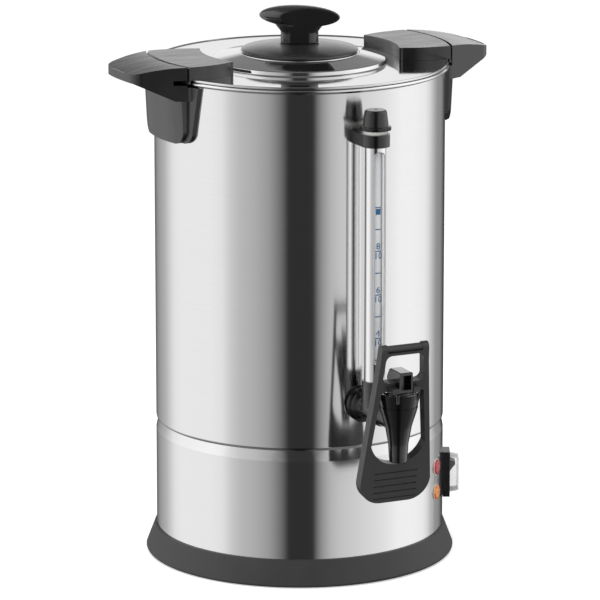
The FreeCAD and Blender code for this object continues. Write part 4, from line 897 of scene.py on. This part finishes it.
def room():
    """A plain white room. Metal and gloss also see its soft boxes and dark screens, each one upright."""
    world = bpy.data.worlds.new("white room")
    bpy.context.scene.world = world
    world.cycles.sampling_method = "NONE"
    world.use_nodes = True
    tree = world.node_tree
    tree.nodes.clear()
    way = add(tree, "ShaderNodeTexCoord").outputs["Generated"]
    height = add(tree, "ShaderNodeSeparateXYZ", {"Vector": way}).outputs["Z"]
    turn = math.radians(CAMERA_SIDE)
    right = add(tree, "ShaderNodeVectorMath", {0: way, 1: (-math.sin(turn), math.cos(turn), 0)},
                operation="DOT_PRODUCT")
    near = add(tree, "ShaderNodeVectorMath", {0: way, 1: (math.cos(turn), math.sin(turn), 0)},
               operation="DOT_PRODUCT")
    angle = add(tree, "ShaderNodeMath", {0: right.outputs["Value"], 1: near.outputs["Value"]},
                operation="ARCTAN2")
    share = add(tree, "ShaderNodeMapRange", {
        "Value": angle.outputs[0],
        "From Min": -math.pi,
        "From Max": math.pi,
    })
    screens = add(tree, "ShaderNodeValToRGB", {"Fac": share.outputs[0]},
                  [((degrees + 180) / 360, level) for degrees, level in ROOM])
    ceiling = add(tree, "ShaderNodeValToRGB", {"Fac": height}, CEILING)
    # The screens are brighter above the level of the eye, and fade out at their feet.
    foot = add(tree, "ShaderNodeMapRange", {
        "Value": height,
        "From Min": SCREEN_FOOT[0],
        "From Max": SCREEN_FOOT[1],
        "To Min": SCREEN_FOOT_LEVEL,
        "To Max": 1.0,
    })
    head = add(tree, "ShaderNodeMapRange", {
        "Value": height,
        "From Min": SCREEN_EYE[0],
        "From Max": SCREEN_EYE[1],
        "To Min": 1.0,
        "To Max": SCREEN_HEAD_LEVEL,
    })
    level = add(tree, "ShaderNodeMath", {0: foot.outputs[0], 1: head.outputs[0]}, operation="MULTIPLY")
    lit = add(tree, "ShaderNodeVectorMath", {0: screens.outputs["Color"], 1: level.outputs[0]},
              operation="MULTIPLY")
    # They stand taller beside the camera than behind the urn.
    top = add(tree, "ShaderNodeMapRange", {
        "Value": near.outputs["Value"],
        "From Min": SCREEN_RISE[0],
        "From Max": SCREEN_RISE[1],
        "To Min": SCREEN_TOPS[0],
        "To Max": SCREEN_TOPS[1],
    })
    over = add(tree, "ShaderNodeMath", {0: height, 1: top.outputs[0]}, operation="SUBTRACT")
    above = add(tree, "ShaderNodeMapRange", {
        "Value": over.outputs[0],
        "From Min": -SCREEN_TOP_BLUR,
        "From Max": SCREEN_TOP_BLUR,
    }, interpolation_type="SMOOTHSTEP")
    seen_in_gloss = add(tree, "ShaderNodeMix", {
        0: above.outputs[0],
        6: lit.outputs[0],
        7: ceiling.outputs["Color"],
    }, data_type="RGBA")
    path = add(tree, "ShaderNodeLightPath")
    studio = add(tree, "ShaderNodeBackground", {"Color": seen_in_gloss.outputs[2]})
    white = add(tree, "ShaderNodeBackground", {"Color": (1, 1, 1, 1)})
    fill = add(tree, "ShaderNodeBackground", {"Color": (1, 1, 1, 1), "Strength": FILL_LEVEL})
    glossy = add(tree, "ShaderNodeMixShader", {
        0: path.outputs["Is Glossy Ray"],
        1: fill.outputs[0],
        2: studio.outputs[0],
    })
    straight = add(tree, "ShaderNodeMath", {
        0: path.outputs["Is Camera Ray"],
        1: path.outputs["Is Transmission Ray"],
    }, operation="MAXIMUM")
    shown = add(tree, "ShaderNodeMixShader", {
        0: straight.outputs[0],
        1: glossy.outputs[0],
        2: white.outputs[0],
    })
    add(tree, "ShaderNodeOutputWorld", {"Surface": shown.outputs[0]})


def table_top():
    """A white table that keeps the urn's shadow, and that the steel looks through to the room."""
    made, tree = material("white table top")
    path = add(tree, "ShaderNodeLightPath")
    matt = add(tree, "ShaderNodeBsdfDiffuse", {"Color": linear("#F4F4F4")})
    glow = add(tree, "ShaderNodeEmission", {"Color": (1, 1, 1, 1), "Strength": TABLE_GLOW})
    lit = add(tree, "ShaderNodeAddShader", {0: matt.outputs[0], 1: glow.outputs[0]})
    seen = add(tree, "ShaderNodeMixShader", {
        0: path.outputs["Is Camera Ray"],
        1: matt.outputs[0],
        2: lit.outputs[0],
    })
    through = add(tree, "ShaderNodeBsdfTransparent")
    top = add(tree, "ShaderNodeMixShader", {
        0: path.outputs["Is Glossy Ray"],
        1: seen.outputs[0],
        2: through.outputs[0],
    })
    add(tree, "ShaderNodeOutputMaterial", {"Surface": top.outputs[0]})
    corners = [(x * TABLE_HALF, y * TABLE_HALF, 0) for x, y in ((-1, -1), (1, -1), (1, 1), (-1, 1))]
    mesh = bpy.data.meshes.new("table_top")
    mesh.from_pydata(corners, [], [(0, 1, 2, 3)])
    new_piece("table_top", mesh, made)


def softbox(name, place, width, height, watts):
    """A lamp that lights the urn but isn't seen in its gloss, which has the room's screens."""
    light = bpy.data.lights.new(name, "AREA")
    light.shape = "RECTANGLE"
    light.size = width
    light.size_y = height
    light.energy = watts
    made = bpy.data.objects.new(name, light)
    bpy.context.scene.collection.objects.link(made)
    made.location = place
    made.visible_glossy = False
    made.rotation_mode = "QUATERNION"
    made.rotation_quaternion = (Vector(LAMP_AIM) - Vector(place)).to_track_quat("-Z", "Y")


def camera(place, down, turn, lens_mm, shift):
    """A long lens at the photograph's viewing angle. Down and turn are in degrees."""
    eye = bpy.data.cameras.new("camera")
    eye.sensor_width = 36
    eye.lens = lens_mm
    eye.clip_end = 50
    eye.shift_x = shift
    made = bpy.data.objects.new("camera", eye)
    bpy.context.scene.collection.objects.link(made)
    made.location = place
    made.rotation_euler = (math.radians(90 - down), 0, math.radians(turn))
    bpy.context.scene.camera = made


room()
table_top()
softbox("overhead softbox", place=(-0.3, -0.5, 1.9), width=1.6, height=1.6, watts=22)
softbox("left softbox", place=(-1.9, -0.5, 0.9), width=0.9, height=1.4, watts=8)
camera(place=(-1.566, -3.3583, 1.0913), down=13.35, turn=-25, lens_mm=274.33, shift=0.0007)
bpy.context.scene.view_settings.view_transform = "Standard"
